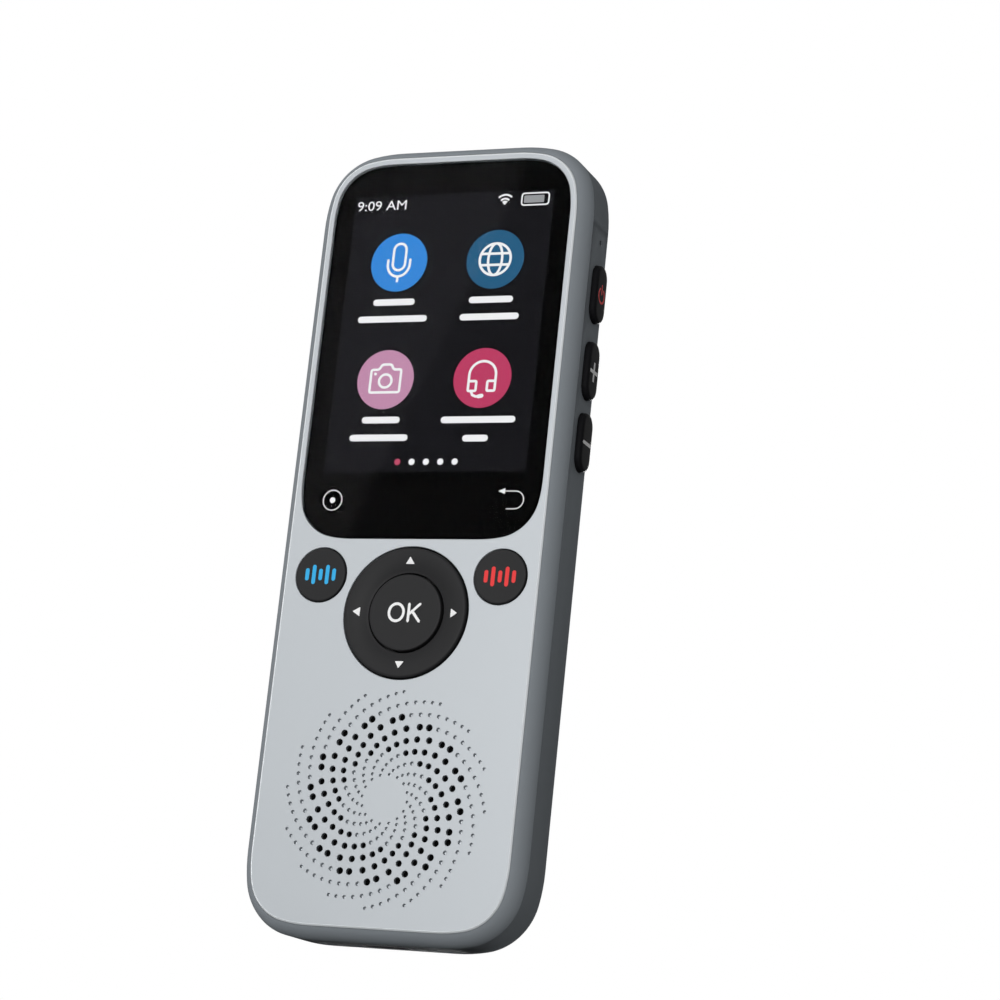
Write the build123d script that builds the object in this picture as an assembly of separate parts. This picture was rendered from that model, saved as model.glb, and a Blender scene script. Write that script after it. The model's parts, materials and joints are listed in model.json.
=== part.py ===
from build123d import *
from math import cos, degrees, pi, radians, sin
import os

# Handheld translator, millimetres.
# X runs across the face (right as seen from the front), Y runs from front to back and
# Z runs up along the body.  The bottom end stands on Z = 0, and X = 0 is the middle.
# "Depth" is the distance behind the flat front face.  "Margin" is the distance outside
# the outline of that face, measured in its plane.

# ---------------------------------------------------------------- overall form
FACE_WIDTH = 45.1
FACE_HEIGHT = 130.8
FACE_CORNER = 7.8          # radius in the middle of each corner
FACE_EASE = 25.0           # larger radius that leads into each corner
EASE_TURN = 0.2            # radians turned by each leading arc
BAND_MARGIN = 2.3          # the flat side band lies this far outside the face
THICKNESS = 14.6
HALF_WIDTH = FACE_WIDTH / 2
FOOT_Z = BAND_MARGIN       # lower and upper end of the face
HEAD_Z = FOOT_Z + FACE_HEIGHT
CENTRE_Z = FOOT_Z + FACE_HEIGHT / 2

# ---------------------------------------------------------------- clearances
SEAM = 0.06                # between casing pieces that meet in a visible line
KEY_GAP = 0.18             # around a front key in its hole
RING_GAP = 0.3             # around the tilting ring and around the OK key inside it
SIDE_KEY_GAP = 0.1         # around a side key in its window
CARD_GAP = 0.15            # around the card tray
FIT_GAP = 0.05             # around pieces that are glued or dropped in
BODY_GAP = 0.2             # between neighbouring pieces inside the casing
KEY_TRAVEL = 0.4           # how far a key can be pressed in

# ---------------------------------------------------------------- depths of the tray and the board
SIDE_DEPTH = 7.2           # depth of the row of side keys, the card slot and the holes
TRAY_THICK, TRAY_FLOOR = 1.2, 0.15   # the tray, and the metal under it on the board
BOARD_BACK = SIDE_DEPTH - TRAY_THICK / 2 - CARD_GAP - TRAY_FLOOR
BOARD_THICK = 1.0
BOARD_FRONT = BOARD_BACK - BOARD_THICK

# ---------------------------------------------------------------- speaker grille
SPEAKER_SHARE = 0.15726    # height of the grille's middle as a share of the face
SPEAKER_Z = FOOT_Z + SPEAKER_SHARE * FACE_HEIGHT
GRILLE_ARMS = 16
GRILLE_START = 4.03        # radius of the innermost dot
INNER_STEPS, INNER_STEP, INNER_GROWTH = 10, 0.765, 0.0258
OUTER_STEPS, OUTER_STEP, OUTER_GROWTH = 9, 0.66, -0.0308
FIRST_HOLE, LAST_HOLE = 5, 11
SMALL_HOLE, LARGE_HOLE = 0.42, 0.52
HOLE_SIDES = 6
TURN_BASE, TURN_LINEAR, TURN_SQUARE = -53.71, 8.732, 0.052
OPENING_EDGE = 0.3         # from the outermost hole to the edge of the speaker opening
SPEAKER_LIP = 0.8          # how far the speaker reaches under the wall around its opening
SPEAKER_WALL = 0.8
SPEAKER_FRONT, SPEAKER_BACK, SPEAKER_FLOOR = 2.2, 6.6, 6.0
MESH_DEPTH = 0.95
DIAPHRAGM_FRONT, DIAPHRAGM_BACK = 2.8, 3.1
COIL_RADIUS, CAP_FRONT, COIL_BACK = 5.2, 2.4, 5.8
COIL_GAP = 0.4
MAGNET_RADIUS, MAGNET_BACK = 7.0, 8.4
POLE_RADIUS, POLE_BACK = 2.4, 8.6

# ---------------------------------------------------------------- keys on the face
NAV_SHARE, VOICE_RISE = 0.23494, 6.2
NAV_Z = SPEAKER_Z + NAV_SHARE * FACE_HEIGHT
VOICE_Z = NAV_Z + VOICE_RISE
VOICE_SHARE, EDGE_SHARE, BRIDGE_SHARE = 0.20044, 0.08426, 0.08381   # of the half width
VOICE_RADIUS = VOICE_SHARE * HALF_WIDTH
VOICE_X = HALF_WIDTH - EDGE_SHARE * HALF_WIDTH - VOICE_RADIUS
KEY_BRIDGE = BRIDGE_SHARE * HALF_WIDTH     # metal between the ring and a voice key
NAV_RADIUS = (VOICE_X**2 + VOICE_RISE**2) ** 0.5 - VOICE_RADIUS - KEY_BRIDGE
NAV_BAND = 4.47
OK_RADIUS = NAV_RADIUS - NAV_BAND
NAV_PROUD, KEY_PROUD = 0.5, 0.3
FLANGE_FRONT, FLANGE_BACK, FLANGE_REACH = 2.45, 2.9, 0.75
STEM_BACK, STEM_RADIUS = 3.45, 2.2
RING_STEP = 1.9            # depth of the ledge over the flange of the OK key
RING_FOOT, RING_FOOT_RADIUS, RING_FOOT_INSET = 3.3, 0.6, 1.27
ROCKER_WALL, ROCKER_GAP = 0.75, 0.6
ROCKER_FRONT, ROCKER_BACK = 3.25, 3.55
MAT_FRONT, MAT_BACK, MAT_EDGE, MAT_SKIRT = 3.9, 4.3, 1.3, 0.8
DOME_TALL, DOME_RADIUS = 0.4, 2.0
DOME_FRONT = BOARD_FRONT - DOME_TALL
MAT_NUB_GAP, MAT_NUB_RADIUS = 0.1, 0.9
MAT_NUB_BACK = DOME_FRONT - MAT_NUB_GAP

# ---------------------------------------------------------------- front
RIM_MARGIN, RIM_DEPTH = 0.3, 0.2   # edge of the front plate and start of the shoulder
PLATE_DEPTH = 0.8
GLASS_SIDE, GLASS_HEAD = 0.85, 0.9         # metal left beside and above the glass
GLASS_RISE = 6.3                           # from the middle of the voice keys
GLASS_BOTTOM, GLASS_TOP = VOICE_Z + GLASS_RISE, HEAD_Z - GLASS_HEAD
GLASS_CORNER, GLASS_EASE, GLASS_DEPTH = 7.3, 20.0, 0.7
DISPLAY_SIDE, DISPLAY_FOOT, DISPLAY_HEAD = 1.6, 7.1, 4.6
DISPLAY_HALF = HALF_WIDTH - GLASS_SIDE - DISPLAY_SIDE
DISPLAY_BOTTOM, DISPLAY_TOP = GLASS_BOTTOM + DISPLAY_FOOT, GLASS_TOP - DISPLAY_HEAD
DISPLAY_DEPTH, TRAY_DEPTH = 1.7, 2.9

# ---------------------------------------------------------------- casing sections
SHOULDER_MARGIN, SHOULDER_DEPTH = 1.57, 1.48   # the shoulder bends here
CREASE_DEPTH = 3.1
BAND_BACK = 10.2
REAR_EDGE_MARGIN, REAR_EDGE_DEPTH = 1.2, 11.25
REAR_RIM_MARGIN, REAR_RIM_DEPTH = 0.98, 11.45
PILLOW_MARGIN, PILLOW_START = 0.9, 11.35
PILLOW_FLAT_MARGIN = -5.1
PILLOW_BENDS = ((-0.6, 12.86), (-2.7, 14.05))   # the curved edge of the back bends here
POCKET_STEPS = ((-0.3, 11.4), (-2.2, 12.5), (-4.6, 13.4))
INNER_MARGIN = 0.7         # inside face of the side wall
WALL_DEPTH = 1.8
WALL_INNER_MARGIN = -1.0
RAIL_FRONT, RAIL_BACK, RAIL_MARGIN, RAIL_LENGTH = 9.6, 10.4, -0.4, 8.0
FOOT_RAIL_HALF = 13.0
FLANGE_SEAT = 10.45
HOOK_OUTER, HOOK_INNER, HOOK_WIDTH = -0.5, -1.3, 5.0
HOOK_FRONT, HOOK_BARB = 8.6, 0.55
HOOK_BARB_BACK = 9.5
HOOK_ROOT = 12.0
LOW_HOOK_RISE, HIGH_HOOK_DROP = 27.4, 12.7

# ---------------------------------------------------------------- side openings
KEY_LENGTH, KEY_WIDTH, SIDE_KEY_PROUD = 10.4, 4.6, 1.1
POWER_DROP, VOLUME_UP_DROP, VOLUME_DOWN_DROP = 22.8, 36.15, 48.5
POWER_Z, VOLUME_UP_Z = HEAD_Z - POWER_DROP, HEAD_Z - VOLUME_UP_DROP
VOLUME_DOWN_Z = HEAD_Z - VOLUME_DOWN_DROP
SIDE_KEYS = (POWER_Z, VOLUME_UP_Z, VOLUME_DOWN_Z)
SIDE_FLANGE_REACH, SIDE_FLANGE_THICK = 0.8, 0.9
SIDE_KEYS_FOOT = VOLUME_DOWN_Z - KEY_LENGTH / 2 - SIDE_FLANGE_REACH
CASE_BOSS_RADIUS, EAR_HALF = 1.8, 2.1
MAT_TOP = VOICE_Z + VOICE_RADIUS + FLANGE_REACH + MAT_EDGE
WAIST_LOW, WAIST_HIGH = MAT_TOP + CASE_BOSS_RADIUS, SIDE_KEYS_FOOT - EAR_HALF
WAIST_SHARE = 0.16         # place of the waist screws between these two limits
WAIST_Z = WAIST_LOW + WAIST_SHARE * (WAIST_HIGH - WAIST_LOW)
SLOT_DROP, SLOT_LENGTH, SLOT_WIDTH = 47.0, 12.66, 1.75
SLOT_Z = HEAD_Z - SLOT_DROP
PIN_HOLE_RADIUS, RIGHT_MIC_DROP = 0.5, 13.9
RIGHT_MIC_Z = HEAD_Z - RIGHT_MIC_DROP
LEFT_MIC_DROP, RESET_DROP = 5.2, 4.9       # below the waist screws and the ring's middle
LEFT_MIC_Z, RESET_Z = WAIST_Z - LEFT_MIC_DROP, NAV_Z - RESET_DROP
LANYARD_RADIUS, LANYARD_DEPTH = 0.75, 7.0
LANYARD_TURNS = (11.5, 27.0)
SOCKET_WIDTH, SOCKET_HEIGHT, SOCKET_WALL = 8.94, 3.26, 0.3
SOCKET_GAP = 0.25          # from the inner end of the socket to the speaker
TONGUE_WIDTH, TONGUE_THICK, TONGUE_INSET = 6.7, 0.7, 0.9

# ---------------------------------------------------------------- card tray
TRAY_LENGTH, TRAY_STEP = 16.0, 0.18
CAP_RECESS, CAP_THICK = 0.35, 1.2
TRAY_WIDTH = SLOT_LENGTH - 2 * CARD_GAP - 2 * TRAY_STEP
CARD_LENGTH, CARD_WIDTH, CARD_THICK, CARD_INSET = 13.0, 10.6, 0.7, 1.2
CARD_SOCKET_WALL, CARD_SOCKET_MOUTH = 0.2, 1.25

# ---------------------------------------------------------------- boards and cells
BOARD_EDGE, BOARD_HEAD = 2.05, 5.1         # from the edges of the face
BOARD_HALF, BOARD_TOP = HALF_WIDTH - BOARD_EDGE, HEAD_Z - BOARD_HEAD
BOARD_TAB_EDGE, BOARD_TAB_HEAD = 8.55, 0.9
BOARD_TAB_HALF, BOARD_TAB_TOP = HALF_WIDTH - BOARD_TAB_EDGE, HEAD_Z - BOARD_TAB_HEAD
BOARD_FOOT_GAP = 0.6       # between the board and the speaker
BOARD_NOTCH, BOARD_NOTCH_GAP = 2.9, 0.5
SIDE_BOARD_THICK, SIDE_BOARD_REACH = 0.8, 6.6
SIDE_BOARD_AHEAD, SIDE_BOARD_BEHIND = 2.2, 2.1
SWITCH_LENGTH, SWITCH_WIDTH = 4.0, 3.0
SWITCH_PLUNGER, SWITCH_PLUNGER_RISE = 0.8, 0.25
MIC_SIZE, MIC_AHEAD, MIC_BEHIND, MIC_EDGE = 3.0, 1.9, 0.5, 0.2
CELL_EDGE, CELL_FOOT, CELL_GAP = 5.55, 5.4, 2.35
PAD_THICK, PAD_EDGE, BATTERY_BACK = 0.3, 1.2, 12.7
BATTERY_FRONT = BOARD_BACK + PAD_THICK
SHIELD_RISE, SHIELD_HEAD, SHIELD_TALL, SHIELD_WALL = 4.55, 6.6, 1.7, 0.25
SHIELD_HALF, SHIELD_BACK = HALF_WIDTH - CELL_EDGE, BOARD_BACK + SHIELD_TALL
CHIP_SIZE, CHIP_THICK, CHIP_DROP = 12.0, 1.1, 13.8
MEMORY_LENGTH, MEMORY_WIDTH, MEMORY_EDGE = 10.0, 7.0, 1.5
MEMORY_X = SHIELD_HALF - MEMORY_EDGE - MEMORY_LENGTH / 2
ANTENNA_LENGTH, ANTENNA_WIDTH, ANTENNA_DROP = 9.0, 2.2, 1.6
PLUG_X, PLUG_RISE, PLUG_LENGTH, PLUG_WIDTH, PLUG_TALL = 9.0, 2.6, 6.0, 3.2, 1.7
LEAD_RADIUS, LEAD_PITCH, LEAD_LIFT = 0.4, 2.0, 1.0
USB_BOARD_HALF, USB_BOARD_RISE, USB_BOARD_HEIGHT, USB_BOARD_FRONT = 12.0, 0.3, 14.1, 8.8
FLEX_THICK, FLEX_LAP = 0.15, 1.0
USB_FLEX_X, USB_FLEX_WIDTH, USB_FLEX_RUN, USB_FLEX_LAND = 9.0, 6.0, 3.4, 0.3
DISPLAY_FLEX_WIDTH, DISPLAY_FLEX_RUN = 16.0, 2.0
CONNECTOR_DROP, CONNECTOR_WIDTH, CONNECTOR_TALL = 4.0, 2.4, 0.8
CONNECTOR_FRONT = BOARD_FRONT - CONNECTOR_TALL

# ---------------------------------------------------------------- camera
CAMERA_DROP = 13.3
CAMERA_Z = HEAD_Z - CAMERA_DROP
BEZEL_RADIUS, BEZEL_FRONT, BEZEL_PROUD = 6.05, 12.7, 0.1
BEZEL_STEPS = ((0.35, 14.4), (1.85, 14.0))   # inset from the rim and floor of each step
BARREL_RADIUS, BARREL_BACK, BARREL_GAP = 2.6, 13.8, 0.15
LENS_RADIUS, LENS_RISE, LENS_SEAT = 1.6, 0.35, 0.3
MODULE_SIZE, MODULE_BACK = 8.5, 12.6
ROUND_SIDES = 24

# ---------------------------------------------------------------- screws
SCREW_RADIUS, HEAD_RADIUS, HEAD_THICK = 0.7, 1.3, 0.8
BOARD_BOSS_RADIUS = 1.6
EAR_FRONT, EAR_BACK, EAR_INSET = 5.5, 7.0, 2.2
FOOT_SCREW, WAIST_EDGE, HEAD_SCREW = (4.55, 5.2), 2.35, (5.75, 2.7)
LOW_BOARD_SCREW, HIGH_BOARD_SCREW = (5.05, 3.4), (11.05, 2.5)
SCREW_TIP, SCREW_SLOT, SCREW_SLOT_DEEP, THREAD_PLAY = 2.6, 0.35, 0.4, 0.02
SHANK_SIDES = 6

ARCS_AND_SIDE = 4          # one straight side and three arcs make a quarter of the outline
PLAIN_SIDES = 16           # sides of the hidden round pieces
SMALL_SIDES = 12           # sides of pinholes and wires

os.makedirs("parts", exist_ok=True)


# ---------------------------------------------------------------- drawing helpers
def at_depth(depth):
    """Drawing plane that faces forward: x to the right, y up."""
    return Plane(origin=(0, depth - THICKNESS / 2, 0), x_dir=(1, 0, 0), z_dir=(0, -1, 0))


def slab(profile, near, far):
    """Piece of the given outline that reaches from one depth to a greater one."""
    return extrude(at_depth(far) * profile, far - near)


def spot(x, z, profile):
    return Pos(x, z) * profile


def box(x_range, z_range, near, far):
    """Block between two values of x, two heights and two depths."""
    wide, tall = x_range[1] - x_range[0], z_range[1] - z_range[0]
    centre_x, centre_z = sum(x_range) / 2, sum(z_range) / 2
    return slab(spot(centre_x, centre_z, Rectangle(wide, tall)), near, far)


def disc(radius, sides=PLAIN_SIDES):
    """Many-sided drawing that stands for a circle on a hidden piece."""
    return RegularPolygon(radius, sides)


def band(outer, inner):
    return disc(outer) - disc(inner)


def both_sides(points):
    return [(side * x, z) for x, z in points for side in (-1, 1)]


def across(profile, depth, z, x_from, x_to):
    """Extrusion along X of a profile drawn as (height, depth) about one point."""
    start = Plane(origin=(x_to, depth - THICKNESS / 2, z), x_dir=(0, 0, 1), z_dir=(-1, 0, 0))
    return extrude(start * profile, x_to - x_from)


def eased_wire(half_width, half_height, corner, ease, centre_z):
    """Rectangle whose corners are led into by larger arcs, from the right middle."""
    inset = ease - (ease - corner) * cos(EASE_TURN)
    edges = []
    start = (half_width, centre_z)
    for quarter in range(4):
        side_x = 1 if quarter in (0, 3) else -1
        side_z = 1 if quarter < 2 else -1
        middle = (side_x * (half_width - inset), centre_z + side_z * (half_height - inset))
        base = quarter * pi / 2
        turns = (base, base + EASE_TURN, base + pi / 2 - EASE_TURN, base + pi / 2)
        arcs = []
        for step in range(len(turns) - 1):
            radius = corner if step == 1 else ease
            lean = turns[1] if step == 0 else turns[2]
            shift = radius - corner
            centre = (middle[0] - shift * cos(lean), middle[1] - shift * sin(lean))
            sweep_angle = degrees(turns[step + 1] - turns[step])
            arcs.append(CenterArc(centre, radius, degrees(turns[step]), sweep_angle))
        edges.append(Line(start, arcs[0] @ 0))
        edges.extend(arcs)
        start = arcs[-1] @ 1
    edges.append(Line(start, (half_width, centre_z)))
    return Wire(edges)


def outline_wire(margin):
    half_width, half_height = HALF_WIDTH + margin, FACE_HEIGHT / 2 + margin
    return eased_wire(half_width, half_height, FACE_CORNER + margin, FACE_EASE + margin, CENTRE_Z)


def outline(margin):
    """Outline of the whole body, a given distance outside the face."""
    return make_face(outline_wire(margin))


def straightened(wire):
    """Face inside an eased outline redrawn with short straight sides."""
    points = []
    for index, edge in enumerate(wire.edges()):
        points.append(edge @ 0)
        if index % ARCS_AND_SIDE == 2:
            points += [edge @ (1 / 3), edge @ (2 / 3)]
    return make_face(Polyline(*points, close=True))


def inside_outline(margin):
    """The same outline for hidden inner walls."""
    return straightened(outline_wire(margin))


def glass_wire(margin):
    half_width = HALF_WIDTH - GLASS_SIDE + margin
    half_height = (GLASS_TOP - GLASS_BOTTOM) / 2 + margin
    middle = (GLASS_TOP + GLASS_BOTTOM) / 2
    return eased_wire(half_width, half_height, GLASS_CORNER + margin, GLASS_EASE + margin, middle)


def glass_outline(margin):
    return make_face(glass_wire(margin))


def ring(edges):
    """Wall that follows the outline, from a section of (margin, depth)."""
    origin = (HALF_WIDTH, -THICKNESS / 2, CENTRE_Z)
    plane = Plane(origin=origin, x_dir=(1, 0, 0), z_dir=(0, 0, 1))
    return sweep(plane * make_face(edges), path=at_depth(0) * outline_wire(0))


def pill(length, width):
    return SlotOverall(length, width)


def display_outline(gap):
    height = DISPLAY_TOP - DISPLAY_BOTTOM
    shape = Rectangle(2 * DISPLAY_HALF + 2 * gap, height + 2 * gap)
    return spot(0, (DISPLAY_TOP + DISPLAY_BOTTOM) / 2, shape)


def case_screw_places():
    """Two screws at the foot, two beside the lower end of the glass, two at the head."""
    heights = (FOOT_Z + FOOT_SCREW[1], WAIST_Z, HEAD_Z - HEAD_SCREW[1])
    edges = (FOOT_SCREW[0], WAIST_EDGE, HEAD_SCREW[0])
    return both_sides([(HALF_WIDTH - edge, z) for edge, z in zip(edges, heights)])


def board_bottom():
    return SPEAKER_Z + speaker_radius() + BOARD_FOOT_GAP


def board_screw_places():
    low = (HALF_WIDTH - LOW_BOARD_SCREW[0], board_bottom() + LOW_BOARD_SCREW[1])
    high = (HALF_WIDTH - HIGH_BOARD_SCREW[0], HEAD_Z - HIGH_BOARD_SCREW[1])
    return both_sides([low, high])


def save(name, piece):
    export_step(piece, "parts/" + name + ".step")


# ---------------------------------------------------------------- speaker grille
def grille_radii():
    """Radii of the dots along one arm, from the middle outwards."""
    radii = [GRILLE_START]
    for count, step, growth in (
        (INNER_STEPS, INNER_STEP, INNER_GROWTH),
        (OUTER_STEPS, OUTER_STEP, OUTER_GROWTH),
    ):
        for index in range(count):
            radii.append(radii[-1] + step + growth * index)
    return radii


def speaker_opening():
    """Radius of the hole in the wall behind the grille."""
    return grille_radii()[LAST_HOLE] + LARGE_HOLE + OPENING_EDGE


def speaker_radius():
    return speaker_opening() + SPEAKER_LIP


def grille_turn(radius):
    """Degrees that an arm has wound clockwise when it reaches a radius."""
    return TURN_BASE + TURN_LINEAR * radius + TURN_SQUARE * radius**2


def grille_holes():
    """The sixteen winding arms of through holes, as one drawing."""
    holes = Sketch()
    radii = grille_radii()
    for index in range(FIRST_HOLE, LAST_HOLE + 1):
        share = min(1, (index - FIRST_HOLE) / 2)
        size = SMALL_HOLE + (LARGE_HOLE - SMALL_HOLE) * share
        dot = RegularPolygon(size, HOLE_SIDES)
        for arm in range(GRILLE_ARMS):
            turn = radians(arm * 360 / GRILLE_ARMS - grille_turn(radii[index]))
            spot_x, spot_z = radii[index] * cos(turn), radii[index] * sin(turn)
            holes += spot(spot_x, SPEAKER_Z + spot_z, dot)
    return holes


# ---------------------------------------------------------------- casing
def face_openings(ring_gap, key_gap):
    openings = spot(0, NAV_Z, Circle(NAV_RADIUS + ring_gap))
    for x, z in both_sides([(VOICE_X, VOICE_Z)]):
        openings += spot(x, z, Circle(VOICE_RADIUS + key_gap))
    return openings


def front_plate():
    openings = glass_outline(FIT_GAP) + face_openings(RING_GAP, KEY_GAP) + grille_holes()
    return slab(outline(RIM_MARGIN) - openings, 0, PLATE_DEPTH)


def posts(places, profile, near, far):
    return [slab(spot(x, z, profile), near, far) for x, z in places]


def front_cover():
    top = (RIM_MARGIN + SEAM, RIM_DEPTH)
    section = Polyline(
        top,
        (SHOULDER_MARGIN, SHOULDER_DEPTH),
        (BAND_MARGIN, CREASE_DEPTH),
        (WALL_INNER_MARGIN, CREASE_DEPTH),
        (WALL_INNER_MARGIN, PLATE_DEPTH),
        (RIM_MARGIN + SEAM, PLATE_DEPTH),
        top,
    )
    wall = outline(WALL_INNER_MARGIN + SEAM) - display_outline(BODY_GAP)
    wall -= face_openings(RING_GAP, KEY_GAP) + spot(0, SPEAKER_Z, disc(speaker_opening()))
    cover = ring(section) - slab(inside_outline(INNER_MARGIN), WALL_DEPTH, 2 * CREASE_DEPTH)
    cover += slab(wall, PLATE_DEPTH, WALL_DEPTH)
    bore = disc(SCREW_RADIUS + THREAD_PLAY, SHANK_SIDES)
    for places, radius, end in (
        (case_screw_places(), CASE_BOSS_RADIUS, EAR_FRONT),
        (board_screw_places(), BOARD_BOSS_RADIUS, BOARD_FRONT),
    ):
        for boss in posts(places, disc(radius, SHANK_SIDES), WALL_DEPTH, end):
            cover += boss
        for hole in posts(places, bore, SCREW_TIP, end):
            cover -= hole
    return cover


def side_windows():
    """Openings for the three keys, the card tray, the socket and the small holes."""
    inside, outside = HALF_WIDTH, HALF_WIDTH + 2 * BAND_MARGIN
    window = pill(KEY_LENGTH + 2 * SIDE_KEY_GAP, KEY_WIDTH + 2 * SIDE_KEY_GAP)
    cuts = [across(window, SIDE_DEPTH, z, inside, outside) for z in SIDE_KEYS]
    cuts.append(across(disc(PIN_HOLE_RADIUS, SMALL_SIDES), SIDE_DEPTH, RIGHT_MIC_Z, inside, outside))
    cuts.append(across(pill(SLOT_LENGTH, SLOT_WIDTH), SIDE_DEPTH, SLOT_Z, -outside, -inside))
    for z in (LEFT_MIC_Z, RESET_Z):
        cuts.append(across(disc(PIN_HOLE_RADIUS, SMALL_SIDES), SIDE_DEPTH, z, -outside, -inside))
    return cuts


def socket_plane(z):
    depth = USB_BOARD_FRONT - SOCKET_HEIGHT / 2
    return Plane(origin=(0, depth - THICKNESS / 2, z), x_dir=(1, 0, 0), z_dir=(0, 0, 1))


def socket_opening():
    gap = 2 * FIT_GAP
    opening = pill(SOCKET_WIDTH + gap, SOCKET_HEIGHT + gap)
    return extrude(socket_plane(-FOOT_Z) * opening, 2 * FOOT_Z)


def lanyard_holes():
    inset = FACE_EASE - (FACE_EASE - FACE_CORNER) * cos(EASE_TURN)
    corner_x = -(HALF_WIDTH - inset)
    corner_z = CENTRE_Z + FACE_HEIGHT / 2 - inset
    holes = []
    for turn in LANYARD_TURNS:
        way = (-cos(radians(turn)), 0, sin(radians(turn)))
        start = (corner_x, LANYARD_DEPTH - THICKNESS / 2, corner_z)
        plane = Plane(origin=start, z_dir=way).offset(FACE_CORNER)
        holes.append(extrude(plane * disc(LANYARD_RADIUS, SMALL_SIDES), 2 * BAND_MARGIN))
    return holes


def ears():
    """Lugs on the inside of the side wall, one for each casing screw."""
    lugs = []
    for x, z in case_screw_places():
        side = 1 if x > 0 else -1
        inner, outer = abs(x) - EAR_INSET, HALF_WIDTH + BAND_MARGIN
        width = outer - inner
        lug = spot(side * (inner + outer) / 2, z, Rectangle(width, 2 * EAR_HALF))
        lugs.append(slab(lug & outline(INNER_MARGIN + FIT_GAP), EAR_FRONT, EAR_BACK))
    return lugs


def rails():
    """Short ledges inside the side wall that the rear cover clips behind."""
    pieces = []
    for x, z, way in hook_places():
        reach = INNER_MARGIN + FIT_GAP - RAIL_MARGIN
        ledge = Pos(RAIL_MARGIN + reach / 2, 0) * Rectangle(reach, RAIL_LENGTH)
        placed = Pos(x, z) * Rot(0, 0, way) * ledge
        pieces.append(slab(placed, RAIL_FRONT, RAIL_BACK))
    heights = (FOOT_Z - INNER_MARGIN - FIT_GAP, FOOT_Z - RAIL_MARGIN)
    pieces.append(box((-FOOT_RAIL_HALF, FOOT_RAIL_HALF), heights, RAIL_FRONT, RAIL_BACK))
    return pieces


def mid_frame():
    start = CREASE_DEPTH + SEAM
    section = Polyline(
        (RAIL_MARGIN, start),
        (BAND_MARGIN, start),
        (BAND_MARGIN, BAND_BACK),
        (REAR_EDGE_MARGIN, REAR_EDGE_DEPTH),
        (REAR_RIM_MARGIN, REAR_RIM_DEPTH),
        (REAR_RIM_MARGIN, RAIL_BACK),
        (RAIL_MARGIN, RAIL_BACK),
        (RAIL_MARGIN, start),
    )
    frame = ring(section) - slab(inside_outline(INNER_MARGIN), 0, THICKNESS)
    for piece in ears() + rails():
        frame += piece
    bore = disc(SCREW_RADIUS + FIT_GAP, SHANK_SIDES)
    holes = posts(case_screw_places(), bore, EAR_FRONT, EAR_BACK)
    for cut in holes + side_windows() + lanyard_holes() + [socket_opening()]:
        frame -= cut
    return frame


def hook_places():
    """Middle points of the snap hooks, with the direction each of them faces."""
    places = []
    for z in (FOOT_Z + LOW_HOOK_RISE, CENTRE_Z, HEAD_Z - HIGH_HOOK_DROP):
        places.append((HALF_WIDTH, z, 0))
        places.append((-HALF_WIDTH, z, 180))
    places.append((0, HEAD_Z, 90))
    return places


def snap_hook():
    """One hook, drawn as (margin, depth) and centred on its own width."""
    section = make_face(
        Polyline(
            (HOOK_INNER, HOOK_ROOT),
            (HOOK_INNER, HOOK_FRONT),
            (HOOK_OUTER, HOOK_FRONT),
            (HOOK_OUTER + HOOK_BARB, HOOK_BARB_BACK - HOOK_BARB),
            (HOOK_OUTER + HOOK_BARB, HOOK_BARB_BACK),
            (HOOK_OUTER, HOOK_BARB_BACK),
            (HOOK_OUTER, HOOK_ROOT),
            close=True,
        )
    )
    plane = Plane(origin=(0, -THICKNESS / 2, -HOOK_WIDTH / 2), x_dir=(1, 0, 0), z_dir=(0, 0, 1))
    return extrude(plane * section, HOOK_WIDTH)


def rear_cover():
    edge, flat = (PILLOW_MARGIN, PILLOW_START), (PILLOW_FLAT_MARGIN, THICKNESS)
    corners = ((PILLOW_FLAT_MARGIN, FLANGE_SEAT), (PILLOW_MARGIN, FLANGE_SEAT))
    section = Polyline(edge, *PILLOW_BENDS, flat, *corners, edge)
    cover = ring(section) + slab(outline(PILLOW_FLAT_MARGIN + SEAM), FLANGE_SEAT, THICKNESS)
    for margin, depth in POCKET_STEPS:
        cover -= slab(inside_outline(margin), 0, depth)
    for x, z, way in hook_places():
        cover += Pos(x, 0, z) * Rot(0, -way, 0) * snap_hook()
    hole = spot(0, CAMERA_Z, Circle(BEZEL_RADIUS + FIT_GAP))
    return cover - slab(hole, PILLOW_START, 2 * THICKNESS)


# ---------------------------------------------------------------- display
def cover_glass():
    return slab(glass_outline(0), 0, GLASS_DEPTH)


def glass_adhesive():
    frame = straightened(glass_wire(0)) - display_outline(BODY_GAP)
    return slab(frame, GLASS_DEPTH, PLATE_DEPTH)


def display_panel():
    return slab(display_outline(0), GLASS_DEPTH, DISPLAY_DEPTH)


def backlight_tray():
    return slab(display_outline(0), DISPLAY_DEPTH, TRAY_DEPTH)


def ribbon(points, x, width):
    """Thin strip of constant width that follows (height, depth) points."""
    near = [(z, depth - FLEX_THICK / 2) for z, depth in points]
    far = [(z, depth + FLEX_THICK / 2) for z, depth in reversed(points)]
    strip = make_face(Polyline(*near, *far, close=True))
    return across(strip, 0, 0, x - width / 2, x + width / 2)


def display_flex():
    """Strip from the back of the display tray down to its connector."""
    surface = TRAY_DEPTH + FLEX_THICK / 2
    landing = CONNECTOR_FRONT - FLEX_THICK / 2
    points = (
        (DISPLAY_BOTTOM + 2 * FLEX_LAP, surface),
        (DISPLAY_BOTTOM - FLEX_LAP, surface),
        (DISPLAY_BOTTOM - DISPLAY_FLEX_RUN, landing),
        (DISPLAY_BOTTOM - CONNECTOR_DROP - CONNECTOR_WIDTH / 2, landing),
    )
    return ribbon(points, 0, DISPLAY_FLEX_WIDTH)


def display_connector():
    half, reach = DISPLAY_FLEX_WIDTH / 2, CONNECTOR_WIDTH / 2
    middle = DISPLAY_BOTTOM - CONNECTOR_DROP
    return box((-half, half), (middle - reach, middle + reach), CONNECTOR_FRONT, BOARD_FRONT)


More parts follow.
